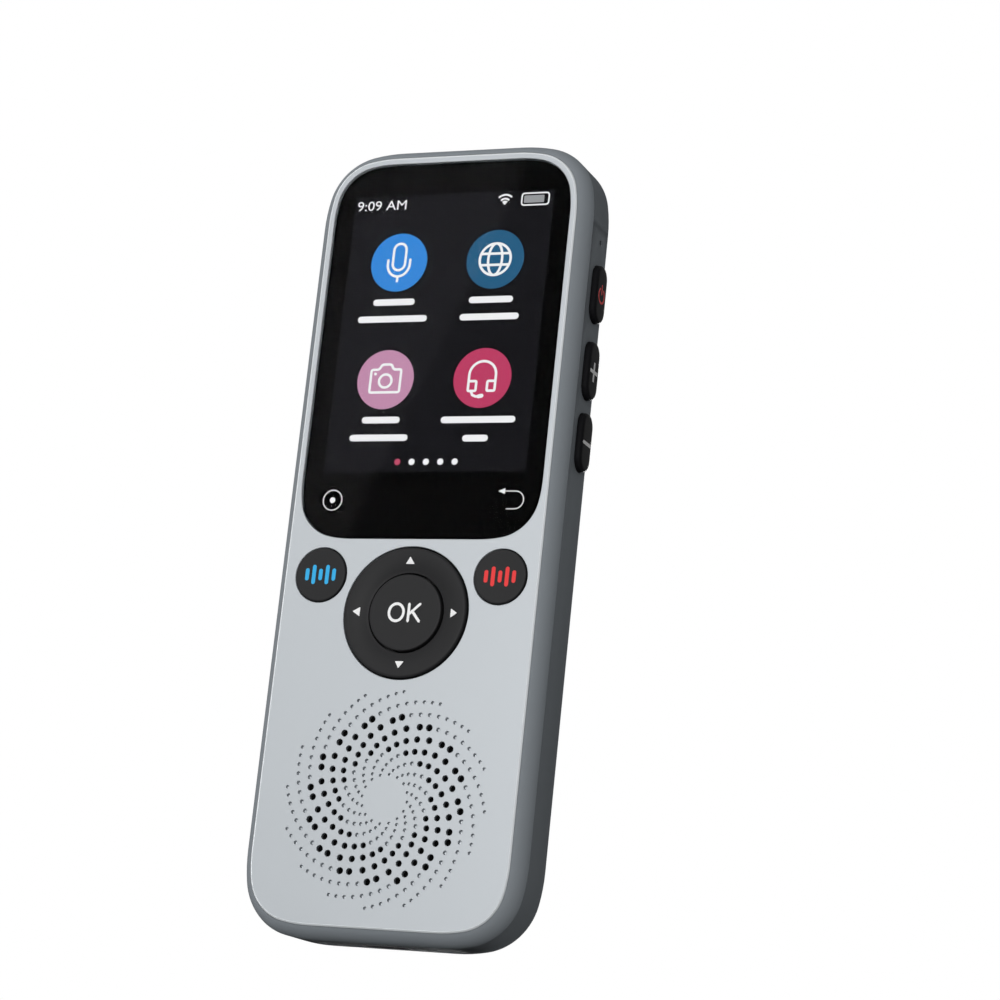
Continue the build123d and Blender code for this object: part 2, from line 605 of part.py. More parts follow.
# ---------------------------------------------------------------- front keys
def round_key(radius, x, z):
    key = slab(spot(x, z, Circle(radius)), -KEY_PROUD, FLANGE_FRONT)
    key += slab(spot(x, z, disc(radius + FLANGE_REACH)), FLANGE_FRONT, FLANGE_BACK)
    return key + slab(spot(x, z, disc(STEM_RADIUS)), FLANGE_BACK, STEM_BACK)


def ok_button():
    return round_key(OK_RADIUS, 0, NAV_Z)


def voice_key(side):
    return round_key(VOICE_RADIUS, side * VOICE_X, VOICE_Z)


def nav_ring():
    inner = OK_RADIUS + RING_GAP
    recess = OK_RADIUS + FLANGE_REACH + RING_GAP
    piece = slab(spot(0, NAV_Z, Circle(NAV_RADIUS)), -NAV_PROUD, FLANGE_FRONT)
    piece += slab(spot(0, NAV_Z, disc(NAV_RADIUS + FLANGE_REACH)), FLANGE_FRONT, FLANGE_BACK)
    piece -= slab(spot(0, NAV_Z, disc(recess)), RING_STEP, FLANGE_BACK)
    piece -= slab(spot(0, NAV_Z, Circle(inner)), -NAV_PROUD, FLANGE_BACK)
    for x, z in dome_places()[1:5]:
        foot = spot(x, z, disc(RING_FOOT_RADIUS, SHANK_SIDES))
        piece += slab(foot, FLANGE_BACK, RING_FOOT)
    return piece


def nav_rocker():
    inner = OK_RADIUS + FLANGE_REACH + ROCKER_GAP
    loop = band(inner + ROCKER_WALL, inner)
    return slab(spot(0, NAV_Z, loop), ROCKER_FRONT, ROCKER_BACK)


def dome_places():
    """The OK key first, then the four directions, then the two voice keys."""
    orbit = NAV_RADIUS - RING_FOOT_INSET
    places = [(0, NAV_Z)]
    places += [(x * orbit, NAV_Z + z * orbit) for x, z in ((1, 0), (0, 1), (-1, 0), (0, -1))]
    return places + both_sides([(VOICE_X, VOICE_Z)])


def key_mat():
    """Rubber sheet under all front keys, with a skirt that stands on the board."""
    reach = NAV_RADIUS + FLANGE_REACH
    wide = Rectangle(2 * (VOICE_X + VOICE_RADIUS + FLANGE_REACH), MAT_TOP - NAV_Z)
    round_ring = Rectangle(2 * (reach + MAT_EDGE), 2 * reach + MAT_EDGE)
    sheet = spot(0, (MAT_TOP + NAV_Z) / 2, wide) + spot(0, NAV_Z, round_ring)
    skirt = sheet - offset(sheet, -MAT_SKIRT)
    mat = slab(sheet, MAT_FRONT, MAT_BACK) + slab(skirt, MAT_BACK, BOARD_FRONT)
    nub = disc(MAT_NUB_RADIUS, SHANK_SIDES)
    for x, z in dome_places():
        mat += slab(spot(x, z, nub), MAT_BACK, MAT_NUB_BACK)
    return mat


def key_domes():
    dome = disc(DOME_RADIUS, HOLE_SIDES)
    return Compound([slab(spot(x, z, dome), DOME_FRONT, BOARD_FRONT) for x, z in dome_places()])


# ---------------------------------------------------------------- speaker
def speaker_slab(profile, near, far):
    return slab(spot(0, SPEAKER_Z, profile), near, far)


def speaker_mesh():
    return speaker_slab(disc(speaker_opening() - FIT_GAP), PLATE_DEPTH, MESH_DEPTH)


def speaker_gasket():
    return speaker_slab(band(speaker_radius(), speaker_opening()), WALL_DEPTH, SPEAKER_FRONT)


def speaker_basket():
    inner = speaker_radius() - SPEAKER_WALL
    wall = speaker_slab(band(speaker_radius(), inner), SPEAKER_FRONT, SPEAKER_BACK)
    return wall + speaker_slab(band(inner, COIL_RADIUS + COIL_GAP), SPEAKER_FLOOR, SPEAKER_BACK)


def speaker_cone():
    """Flat diaphragm with a raised cap in front and the voice coil behind it."""
    rim = speaker_radius() - SPEAKER_WALL - FIT_GAP
    cone = speaker_slab(disc(rim), DIAPHRAGM_FRONT, DIAPHRAGM_BACK)
    return cone + speaker_slab(disc(COIL_RADIUS), CAP_FRONT, COIL_BACK)


def speaker_magnet():
    magnet = speaker_slab(disc(MAGNET_RADIUS), SPEAKER_BACK, MAGNET_BACK)
    return magnet + speaker_slab(disc(POLE_RADIUS), MAGNET_BACK, POLE_BACK)


# ---------------------------------------------------------------- boards
def side_board_span():
    """Lower and upper end of the board behind the side keys and their microphone."""
    return VOLUME_DOWN_Z - SIDE_BOARD_REACH, RIGHT_MIC_Z + MIC_SIZE


def main_board():
    bottom = board_bottom()
    sheet = spot(0, (BOARD_TOP + bottom) / 2, Rectangle(2 * BOARD_HALF, BOARD_TOP - bottom))
    tab = Rectangle(2 * BOARD_TAB_HALF, BOARD_TAB_TOP - bottom)
    sheet += spot(0, (BOARD_TAB_TOP + bottom) / 2, tab)
    notch = Rectangle(2 * BOARD_NOTCH, 2 * (EAR_HALF + BOARD_NOTCH_GAP))
    for side in (-1, 1):
        sheet -= spot(side * BOARD_HALF, WAIST_Z, notch)
    low, high = side_board_span()
    side_notch = Rectangle(2 * (SIDE_BOARD_THICK + BODY_GAP), high - low + 2 * BODY_GAP)
    sheet -= spot(BOARD_HALF, (high + low) / 2, side_notch)
    for x, z in board_screw_places():
        sheet -= spot(x, z, disc(SCREW_RADIUS + FIT_GAP, SHANK_SIDES))
    return slab(sheet, BOARD_FRONT, BOARD_BACK)


def card_socket_top():
    return SLOT_Z + TRAY_WIDTH / 2 + CARD_GAP + CARD_SOCKET_WALL


def shield_can():
    half, wall = SHIELD_HALF, SHIELD_WALL
    low, high = card_socket_top() + SHIELD_RISE, HEAD_Z - SHIELD_HEAD
    can = box((-half, half), (low, high), BOARD_BACK, SHIELD_BACK)
    room = box((wall - half, half - wall), (low + wall, high - wall), BOARD_BACK, SHIELD_BACK - wall)
    return can - room


def chip(x, z, wide, tall):
    return box((x - wide / 2, x + wide / 2), (z - tall / 2, z + tall / 2), BOARD_BACK, BOARD_BACK + CHIP_THICK)


def processor():
    return chip(-CHIP_SIZE / 2, CAMERA_Z - CHIP_DROP, CHIP_SIZE, CHIP_SIZE)


def memory_chips():
    size = (MEMORY_LENGTH, MEMORY_WIDTH)
    return Compound([chip(side * MEMORY_X, CAMERA_Z, *size) for side in (-1, 1)])


def wifi_antenna():
    return chip(0, BOARD_TAB_TOP - ANTENNA_DROP, ANTENNA_LENGTH, ANTENNA_WIDTH)


def side_key_board():
    x_range = (BOARD_HALF - SIDE_BOARD_THICK, BOARD_HALF)
    return box(
        x_range, side_board_span(), SIDE_DEPTH - SIDE_BOARD_AHEAD, SIDE_DEPTH + SIDE_BOARD_BEHIND
    )


def side_switches():
    plunger_face = HALF_WIDTH + INNER_MARGIN - FIT_GAP - SIDE_FLANGE_THICK - KEY_TRAVEL - FIT_GAP
    body_face = plunger_face - SWITCH_PLUNGER_RISE
    bodies = []
    for z in SIDE_KEYS:
        near, far = SIDE_DEPTH - SWITCH_WIDTH / 2, SIDE_DEPTH + SWITCH_WIDTH / 2
        heights = (z - SWITCH_LENGTH / 2, z + SWITCH_LENGTH / 2)
        body = box((BOARD_HALF, body_face), heights, near, far)
        plunger = disc(SWITCH_PLUNGER, HOLE_SIDES)
        bodies.append(body + across(plunger, SIDE_DEPTH, z, body_face, plunger_face))
    return Compound(bodies)


def microphones():
    """One on the side board behind the right hole, one behind the upper left hole."""
    near, far = SIDE_DEPTH - MIC_AHEAD, SIDE_DEPTH + MIC_BEHIND
    wall = HALF_WIDTH + INNER_MARGIN - MIC_EDGE
    pieces = []
    for side, z in ((1, RIGHT_MIC_Z), (-1, LEFT_MIC_Z)):
        x_range = sorted((side * BOARD_HALF, side * wall))
        pieces.append(box(x_range, (z - MIC_SIZE / 2, z + MIC_SIZE / 2), near, far))
    return Compound(pieces)


def battery_span():
    """Lower and upper end of the cell, between the board's foot and the card socket."""
    low_of_socket = 2 * SLOT_Z - card_socket_top()
    return board_bottom() + CELL_FOOT, low_of_socket - CELL_GAP


def battery_cell():
    half = HALF_WIDTH - CELL_EDGE
    return box((-half, half), battery_span(), BATTERY_FRONT, BATTERY_BACK)


def battery_pad():
    half = HALF_WIDTH - CELL_EDGE - PAD_EDGE
    return box((-half, half), battery_span(), BOARD_BACK, BATTERY_FRONT)


def battery_plug():
    half = PLUG_LENGTH / 2
    low = battery_span()[1] + PLUG_RISE
    return box((PLUG_X - half, PLUG_X + half), (low, low + PLUG_WIDTH), BOARD_BACK, BOARD_BACK + PLUG_TALL)


def battery_lead(side):
    """Short wire from the upper edge of the cell to the plug."""
    x = PLUG_X + side * LEAD_PITCH / 2
    start = (x, BOARD_BACK + LEAD_LIFT - THICKNESS / 2, battery_span()[1])
    return extrude(Plane(origin=start, z_dir=(0, 0, 1)) * disc(LEAD_RADIUS, SMALL_SIDES), PLUG_RISE)


def usb_board_span():
    bottom = FOOT_Z - INNER_MARGIN + USB_BOARD_RISE
    return bottom, bottom + USB_BOARD_HEIGHT


def usb_board():
    return box((-USB_BOARD_HALF, USB_BOARD_HALF), usb_board_span(), USB_BOARD_FRONT, RAIL_FRONT)


def socket_end():
    return SPEAKER_Z - speaker_radius() - SOCKET_GAP


def usb_socket_shell():
    """Shell whose mouth is flush with the lower end of the casing."""
    plane = socket_plane(0)
    shell = extrude(plane * pill(SOCKET_WIDTH, SOCKET_HEIGHT), socket_end())
    inner = pill(SOCKET_WIDTH - 2 * SOCKET_WALL, SOCKET_HEIGHT - 2 * SOCKET_WALL)
    return shell - extrude(plane * inner, socket_end() - SOCKET_WALL)


def usb_tongue():
    blade = Rectangle(TONGUE_WIDTH, TONGUE_THICK)
    return extrude(socket_plane(TONGUE_INSET) * blade, socket_end() - SOCKET_WALL - TONGUE_INSET)


def usb_flex():
    """Strip from the socket's board, behind the speaker, to the foot of the main board."""
    low = USB_BOARD_FRONT - FLEX_THICK / 2
    high = BOARD_BACK + FLEX_THICK / 2
    landing = board_bottom() + USB_FLEX_LAND
    points = (
        (usb_board_span()[1] - FLEX_LAP, low),
        (landing - USB_FLEX_RUN, low),
        (landing, high),
        (landing + 2 * FLEX_LAP, high),
    )
    return ribbon(points, USB_FLEX_X, USB_FLEX_WIDTH)


# ---------------------------------------------------------------- side keys
def side_key(z):
    band_face = HALF_WIDTH + BAND_MARGIN
    wall = HALF_WIDTH + INNER_MARGIN - FIT_GAP
    key = across(pill(KEY_LENGTH, KEY_WIDTH), SIDE_DEPTH, z, wall, band_face + SIDE_KEY_PROUD)
    flange = Rectangle(KEY_LENGTH + 2 * SIDE_FLANGE_REACH, KEY_WIDTH)
    return key + across(flange, SIDE_DEPTH, z, wall - SIDE_FLANGE_THICK, wall)


# ---------------------------------------------------------------- card tray
def card_face():
    """Value of x at the outer face of the tray."""
    return CAP_RECESS - HALF_WIDTH - BAND_MARGIN


def card_tray():
    start = card_face() + CAP_THICK
    cap = pill(SLOT_LENGTH - 2 * CARD_GAP, SLOT_WIDTH - 2 * CARD_GAP)
    tray = across(cap, SIDE_DEPTH, SLOT_Z, card_face(), start)
    tongue = Rectangle(TRAY_WIDTH, TRAY_THICK)
    tray += across(tongue, SIDE_DEPTH, SLOT_Z, start, card_face() + TRAY_LENGTH)
    return tray - card_space(CARD_GAP, TRAY_THICK)


def card_space(gap, reach):
    """Room for the card, open at the back of the tray."""
    start = card_face() + CAP_THICK + CARD_INSET
    near = SIDE_DEPTH + TRAY_THICK / 2 - CARD_THICK
    heights = (SLOT_Z - CARD_WIDTH / 2 - gap, SLOT_Z + CARD_WIDTH / 2 + gap)
    return box((start - gap, start + CARD_LENGTH + gap), heights, near, near + reach)


def memory_card():
    return card_space(0, CARD_THICK)


def card_socket():
    """Metal sleeve on the board that the tray slides into."""
    wall, half = CARD_SOCKET_WALL, TRAY_WIDTH / 2 + CARD_GAP
    mouth = -HALF_WIDTH - INNER_MARGIN + CARD_SOCKET_MOUTH + BODY_GAP
    end = card_face() + TRAY_LENGTH + 2 * BODY_GAP
    near = SIDE_DEPTH - TRAY_THICK / 2 - CARD_GAP
    far = SIDE_DEPTH + TRAY_THICK / 2 + CARD_GAP
    heights = (2 * SLOT_Z - card_socket_top(), card_socket_top())
    shell = box((mouth, end + wall), heights, near - TRAY_FLOOR, far + wall)
    return shell - box((mouth, end), (SLOT_Z - half, SLOT_Z + half), near, far)


# ---------------------------------------------------------------- camera
def camera_slab(profile, near, far):
    return slab(spot(0, CAMERA_Z, profile), near, far)


def camera_bezel():
    """Ring with a stepped funnel down to the lens barrel."""
    bezel = camera_slab(disc(BEZEL_RADIUS, ROUND_SIDES), BEZEL_FRONT, THICKNESS + BEZEL_PROUD)
    throat = (BEZEL_RADIUS - BARREL_RADIUS - BARREL_GAP, BEZEL_FRONT)
    for inset, depth in (*BEZEL_STEPS, throat):
        bezel -= camera_slab(disc(BEZEL_RADIUS - inset, ROUND_SIDES), depth, 2 * THICKNESS)
    return bezel


def camera_barrel():
    barrel = camera_slab(disc(BARREL_RADIUS, ROUND_SIDES), MODULE_BACK, BARREL_BACK)
    return barrel - camera_slab(disc(LENS_RADIUS + FIT_GAP), BARREL_BACK - LENS_SEAT, BARREL_BACK)


def camera_lens():
    seat = BARREL_BACK - LENS_SEAT
    return camera_slab(disc(LENS_RADIUS), seat, seat + LENS_RISE)


def camera_module():
    half = MODULE_SIZE / 2
    return box((-half, half), (CAMERA_Z - half, CAMERA_Z + half), SHIELD_BACK, MODULE_BACK)


# ---------------------------------------------------------------- screws
def screw(x, z, seat):
    """Screw whose head rests on the given depth, with its tip towards the front."""
    end = seat + HEAD_THICK
    shank = slab(spot(x, z, disc(SCREW_RADIUS, SHANK_SIDES)), SCREW_TIP, seat)
    head = slab(spot(x, z, disc(HEAD_RADIUS, HOLE_SIDES)), seat, end)
    slot = slab(spot(x, z, Rectangle(2 * HEAD_RADIUS, SCREW_SLOT)), end - SCREW_SLOT_DEEP, end)
    return shank + head - slot


def case_screws():
    return Compound([screw(x, z, EAR_BACK) for x, z in case_screw_places()])


def board_screws():
    return Compound([screw(x, z, BOARD_BACK) for x, z in board_screw_places()])


PIECES = (
    front_plate, front_cover, mid_frame, rear_cover,
    cover_glass, glass_adhesive, display_panel, backlight_tray, display_flex, display_connector,
    ok_button, nav_ring, nav_rocker, key_mat, key_domes,
    speaker_mesh, speaker_gasket, speaker_basket, speaker_cone, speaker_magnet,
    main_board, shield_can, processor, memory_chips, wifi_antenna,
    side_key_board, side_switches, microphones,
    battery_cell, battery_pad, battery_plug,
    usb_board, usb_socket_shell, usb_tongue, usb_flex,
    card_tray, memory_card, card_socket,
    camera_bezel, camera_barrel, camera_lens, camera_module,
    case_screws, board_screws,
)

for piece in PIECES:
    save(piece.__name__, piece())
save("voice_key_left", voice_key(-1))
save("voice_key_right", voice_key(1))
save("power_button", side_key(POWER_Z))
save("volume_up_button", side_key(VOLUME_UP_Z))
save("volume_down_button", side_key(VOLUME_DOWN_Z))
save("battery_lead_red", battery_lead(-1))
save("battery_lead_black", battery_lead(1))
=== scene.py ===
import math

import bmesh
import bpy
import numpy as np
from mathutils import Matrix, Vector
from mathutils.geometry import delaunay_2d_cdt
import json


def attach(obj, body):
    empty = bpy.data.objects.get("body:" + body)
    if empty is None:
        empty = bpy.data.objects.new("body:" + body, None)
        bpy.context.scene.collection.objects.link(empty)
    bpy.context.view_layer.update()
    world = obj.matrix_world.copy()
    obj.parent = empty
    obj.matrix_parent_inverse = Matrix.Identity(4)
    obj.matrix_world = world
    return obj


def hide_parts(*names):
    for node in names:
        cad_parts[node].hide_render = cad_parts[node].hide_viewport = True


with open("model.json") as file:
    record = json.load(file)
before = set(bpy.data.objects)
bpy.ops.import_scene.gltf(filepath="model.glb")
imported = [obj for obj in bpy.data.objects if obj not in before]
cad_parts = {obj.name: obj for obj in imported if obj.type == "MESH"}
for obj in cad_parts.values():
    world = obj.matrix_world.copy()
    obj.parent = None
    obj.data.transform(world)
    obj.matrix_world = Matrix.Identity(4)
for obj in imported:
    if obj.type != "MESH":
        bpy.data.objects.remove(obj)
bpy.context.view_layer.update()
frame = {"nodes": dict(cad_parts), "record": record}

# ---------------------------------------------------------------- sizes in millimetres
HALF_WIDTH, FOOT_Z, HEAD_Z = 22.55, 2.3, 133.1
THICKNESS, SIDE_DEPTH, PLATE_BACK = 14.6, 7.2, 0.8
BAND_MARGIN, BAND_FRONT = 2.3, 3.16
CORNER, EASE, EASE_TURN = 7.8, 25.0, 0.2
SPEAKER_Z, NAV_Z, VOICE_X, VOICE_Z = 22.87, 53.6, 16.13, 59.8
NAV_HOLE, VOICE_HOLE = 11.17, 4.7
OK_RADIUS, VOICE_RADIUS = 6.4, 4.52
GLASS_BOTTOM, GLASS_TOP, GLASS_HALF = 66.1, 132.2, 21.7
GLASS_CORNER, GLASS_EASE = 7.3, 20.0
GLASS_BACK, SCREEN_DEPTH = 0.62, 0.68
LIT_HALF, LIT_BOTTOM, LIT_TOP = 18.36, 77.7, 126.7
POWER_Z, LOUDER_Z, QUIETER_Z = 110.3, 96.95, 84.6
SIDE_KEY_DROP = 0.22       # how far the side keys' middle lies below their switches
SIDE_KEY_LENGTH, SIDE_KEY_WIDTH = 9.96, 4.6
CARD_Z, RIGHT_MIC_Z, LEFT_MIC_Z, RESET_Z = 86.1, 119.2, 64.3, 48.7
CAMERA_Z, CAMERA_HOLE = 119.8, 6.1
STRAP_MIDDLE = (-14.41, 124.96)      # middle of the corner that holds the strap bar
PILLOW_MARGIN, PILLOW_INSIDE = -5.1, 13.4
PRINT = 0.015              # how far a printed mark stands out


# ---------------------------------------------------------------- outlines
def circle(u, v, radius, count=32):
    """Points round a circle."""
    turns = [2 * math.pi * k / count for k in range(count)]
    return [(u + radius * math.cos(t), v + radius * math.sin(t)) for t in turns]


def pill_loop(u, v, length, width, count=12):
    """Points round a slot with round ends. Its length lies along u."""
    radius, reach, points = width / 2, (length - width) / 2, []
    for side, start in ((1, -math.pi / 2), (-1, math.pi / 2)):
        for k in range(count + 1):
            turn = start + math.pi * k / count
            points.append((u + side * reach + radius * math.cos(turn), v + radius * math.sin(turn)))
    return points


class EasedLoop:
    """Closed outline with eased corners, its outward normals and the length along it."""

    def __init__(self, half_width, bottom, top, corner, ease):
        middle, half_height = (bottom + top) / 2, (top - bottom) / 2
        shift = math.cos(EASE_TURN) - math.sin(EASE_TURN)
        reach = ease * (1 - math.cos(EASE_TURN) + math.sin(EASE_TURN)) + corner * shift
        arcs = (
            (ease, 0, EASE_TURN, 4),
            (corner, EASE_TURN, math.pi / 2 - EASE_TURN, 14),
            (ease, math.pi / 2 - EASE_TURN, math.pi / 2, 4),
        )
        point, quarter = np.array([half_width, half_height - reach]), []
        for radius, start, end, count in arcs:
            centre = point - radius * np.array([math.cos(start), math.sin(start)])
            for k in range(0 if not quarter else 1, count + 1):
                turn = start + (end - start) * k / count
                normal = np.array([math.cos(turn), math.sin(turn)])
                quarter.append((centre + radius * normal, normal))
            point = quarter[-1][0]
        rows = []
        for sx, sz, step in ((1, 1, 1), (-1, 1, -1), (-1, -1, 1), (1, -1, -1)):
            flip = np.array([sx, sz])
            rows += [(p * flip + (0, middle), n * flip) for p, n in quarter[::step]]
        self.points = np.array([p for p, n in rows])
        self.normals = np.array([n for p, n in rows])
        lengths = np.linalg.norm(np.diff(self.points, axis=0, append=self.points[:1]), axis=1)
        self.marks = np.concatenate([[0.0], np.cumsum(lengths)])
        self.quarter = len(quarter)

    def at(self, margin, depth):
        """Row of (x, depth, z) points that lies margin outside the outline."""
        return [(x, depth, z) for x, z in self.points + margin * self.normals]

    def flat(self, margin):
        return [tuple(p) for p in self.points + margin * self.normals]

    def along(self, length, margin, depth):
        """Point at a length along the outline, margin outside it."""
        k = min(int(np.searchsorted(self.marks, length, side="right")) - 1, len(self.points) - 1)
        share = (length - self.marks[k]) / (self.marks[k + 1] - self.marks[k])
        j = (k + 1) % len(self.points)
        mix = [(1 - share) * row[k] + share * row[j] for row in (self.points, self.normals)]
        x, z = mix[0] + margin * mix[1]
        return x, depth, z

    def right(self, z):
        return self.marks[-1] - (self.points[0][1] - z)

    def left(self, z):
        corner = 2 * self.quarter - 1
        return self.marks[corner] + self.points[corner][1] - z

    def bottom(self, x):
        corner = 3 * self.quarter - 1
        return self.marks[corner] + x - self.points[corner][0]


face_loop = EasedLoop(HALF_WIDTH, FOOT_Z, HEAD_Z, CORNER, EASE)
glass_loop = EasedLoop(GLASS_HALF, GLASS_BOTTOM, GLASS_TOP, GLASS_CORNER, GLASS_EASE)


# ---------------------------------------------------------------- filling and thickening
def area(loop):
    """Area inside a loop, negative where it runs clockwise."""
    return sum(a[0] * b[1] - b[0] * a[1] for a, b in zip(loop, [*loop[1:], loop[0]])) / 2


def fill(outer, holes=(), marks=(), lines=()):
    """Triangles that fill the outer loop, leave the holes open and follow marks and lines."""
    points, edges, faces, owners = [], [], [], []
    for k, loop in enumerate([outer, *holes, *marks, *lines]):
        if k <= len(holes) and area(loop) < 0:
            loop = loop[::-1]
        ids = list(range(len(points), len(points) + len(loop)))
        points += [Vector(p) for p in loop]
        owners += [k] * len(loop)
        if k <= len(holes):
            faces.append(ids)
        elif k <= len(holes) + len(marks) and len(loop) > 2:
            edges += zip(ids, ids[1:] + ids[:1])
        else:
            edges += zip(ids, ids[1:])
    found = delaunay_2d_cdt(points, edges, faces, 1, 1e-5, True)
    flat, triangles, origins, parts = found[0], found[2], found[3], found[5]
    kept = [t for t, part in zip(triangles, parts) if list(part) == [0]]
    tags = [owners[o[0]] if o else -1 for o in origins]
    used = sorted({k for t in kept for k in t})
    index = {k: i for i, k in enumerate(used)}
    return (
        [tuple(flat[k]) for k in used],
        [tags[k] for k in used],
        [tuple(index[k] for k in t) for t in kept],
    )


class Shape:
    """Points (x, depth behind the face, z) and faces of one solid piece."""

    def __init__(self):
        self.points, self.faces = [], []

    def row(self, points):
        start = len(self.points)
        self.points += [tuple(p) for p in points]
        return list(range(start, len(self.points)))

    def join(self, low, high, closed=True):
        count = len(low)
        for k in range(count if closed else count - 1):
            j = (k + 1) % count
            self.faces.append((low[k], low[j], high[j], high[k]))

    def tube(self, rows, around=True):
        """Skin over a stack of closed rows. Around joins the last row to the first."""
        ids = [self.row(r) for r in rows]
        for low, high in zip(ids, ids[1:]):
            self.join(low, high)
        if around:
            self.join(ids[-1], ids[0])
        else:
            self.faces += [tuple(ids[0]), tuple(ids[-1])]
        return self

    def sheet(self, filled, front, back, seam=None):
        """Solid between two surfaces that share one pattern of triangles."""
        flat, tags, triangles = filled
        near = self.row(front(*p, tag) for p, tag in zip(flat, tags))
        far = self.row(back(*p, tag) for p, tag in zip(flat, tags))
        sides = {(t[k], t[(k + 1) % 3]) for t in triangles for k in range(3)}
        self.faces += [tuple(near[k] for k in t) for t in triangles]
        self.faces += [tuple(far[k] for k in reversed(t)) for t in triangles]
        for a, b in sorted(sides):
            if (b, a) not in sides and not (seam and seam(flat[a], flat[b])):
                self.faces.append((near[a], near[b], far[b], far[a]))
        return self


def lathe(x, z, profile, count=64):
    """Solid of revolution about an axis that runs from front to back."""
    rows = []
    for radius, depth in profile:
        rows.append([(u, depth, v) for u, v in circle(x, z, max(radius, 1e-4), count)])
    return Shape().tube(rows)


def bend(start, end, rise, count):
    """Points of an arc between two points of a section. A rise over 0 bulges to the left of the run."""
    start, end = np.array(start, float), np.array(end, float)
    chord = end - start
    length = np.linalg.norm(chord)
    side = np.array([-chord[1], chord[0]]) / length
    radius = (length**2 / 4 + rise**2) / (2 * rise)
    centre = (start + end) / 2 - side * (radius - rise)
    half = math.asin(length / 2 / radius)
    points = []
    for k in range(count + 1):
        turn = half * (2 * k / count - 1)
        points.append(tuple(centre + radius * (side * math.cos(turn) + chord / length * math.sin(turn))))
    return points


def rounded(corner_from, corner, corner_to, radius, count=4):
    """Points that replace a sharp corner of a section by a fillet of about that radius."""
    a, b, c = (np.array(p, float) for p in (corner_from, corner, corner_to))
    start = b + (a - b) / np.linalg.norm(a - b) * radius
    end = b + (c - b) / np.linalg.norm(c - b) * radius
    shares = [k / count for k in range(count + 1)]
    return [tuple((1 - t) ** 2 * start + 2 * t * (1 - t) * b + t * t * end) for t in shares]


def piece(name, shape, finish, body, replaces=(), sharp=32.0):
    """Makes the object, smooth but for its sharp edges, and ties it to its body."""
    mesh = bpy.data.meshes.new(name)
    points = [(x / 1000, (d - THICKNESS / 2) / 1000, z / 1000) for x, d, z in shape.points]
    mesh.from_pydata(points, [], shape.faces)
    work = bmesh.new()
    work.from_mesh(mesh)
    bmesh.ops.remove_doubles(work, verts=work.verts, dist=1.5e-6)
    bmesh.ops.dissolve_degenerate(work, edges=work.edges, dist=1e-7)
    bmesh.ops.recalc_face_normals(work, faces=work.faces)
    work.to_mesh(mesh)
    work.free()
    mesh.polygons.foreach_set("use_smooth", [True] * len(mesh.polygons))
    mesh.set_sharp_from_angle(angle=math.radians(sharp))
    mesh.materials.append(finish)
    made = bpy.data.objects.new(name, mesh)
    bpy.context.scene.collection.objects.link(made)
    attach(made, body)
    if replaces:
        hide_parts(*replaces)
    return made


# ---------------------------------------------------------------- finishes
class Value:
    """A number that varies over a surface. Sums of values make their own nodes."""

    def __init__(self, finish, socket):
        self.finish, self.socket = finish, socket

    def math(self, operation, first, second, clamp=False):
        settings = {"operation": operation, "use_clamp": clamp}
        return self.finish.node("Math", settings, {0: first, 1: second})

    def __add__(self, other):
        return self.math("ADD", self, other)

    def __sub__(self, other):
        return self.math("SUBTRACT", self, other)

    def __mul__(self, other):
        return self.math("MULTIPLY", self, other)

    def __rsub__(self, other):
        return self.math("SUBTRACT", other, self)

    __radd__, __rmul__ = __add__, __mul__

    def over(self, limit, soft):
        """0 below the limit, 1 above it, with a soft step between them."""
        return self.math("MULTIPLY", self - (limit - soft / 2), 1 / soft, clamp=True)


class Finish:
    """One material, or the world's light, under construction."""

    def __init__(self, name, holders=bpy.data.materials):
        self.holder = holders.new(name)
        self.holder.use_nodes = True
        self.tree = self.holder.node_tree
        self.tree.nodes.clear()
        self.place = self.node("TexCoord", {}, {}, "Object")

    def node(self, kind, settings, sockets, output=0):
        """Makes a node, sets it up, feeds its sockets and gives one output."""
        made = self.tree.nodes.new("ShaderNode" + kind)
        for key, value in settings.items():
            setattr(made, key, value)
        for key, value in sockets.items():
            if isinstance(value, Value):
                self.tree.links.new(value.socket, made.inputs[key])
            else:
                made.inputs[key].default_value = value
        return Value(self, made.outputs[output])

    def noise(self, per_mm, detail=2.0, roughness=0.5):
        sockets = {"Vector": self.place, "Scale": per_mm * 1000, "Detail": detail,
                   "Roughness": roughness}
        return self.node("TexNoise", {}, sockets)

    def mix(self, factor, first, second):
        """Colour between two colours."""
        sockets = {0: factor, 6: colour4(first), 7: colour4(second)}
        return self.node("Mix", {"data_type": "RGBA"}, sockets, 2)

    def bump(self, height, strength, distance_mm):
        sockets = {"Height": height, "Strength": strength, "Distance": distance_mm / 1000}
        return self.node("Bump", {}, sockets)

    def surface(self, **sockets):
        names = {key.replace("_", " "): value for key, value in sockets.items()}
        return self.show(self.node("BsdfPrincipled", {}, names))

    def seen(self):
        """1 where the camera looks straight, in a mirror or through glass, and 0 for other light."""
        rays = [self.node("LightPath", {}, {}, f"Is {kind} Ray") for kind in
                ("Camera", "Glossy", "Transmission")]
        return rays[0].math("MAXIMUM", rays[0], rays[1].math("MAXIMUM", rays[1], rays[2]))

    def show(self, shader, output="OutputMaterial"):
        end = self.tree.nodes.new("ShaderNode" + output)
        self.tree.links.new(shader.socket, end.inputs["Surface"])
        return self.holder


def colour4(value):
    return value if isinstance(value, Value) else (*value, 1)


def shade(colour, share):
    return tuple(c * share for c in colour)


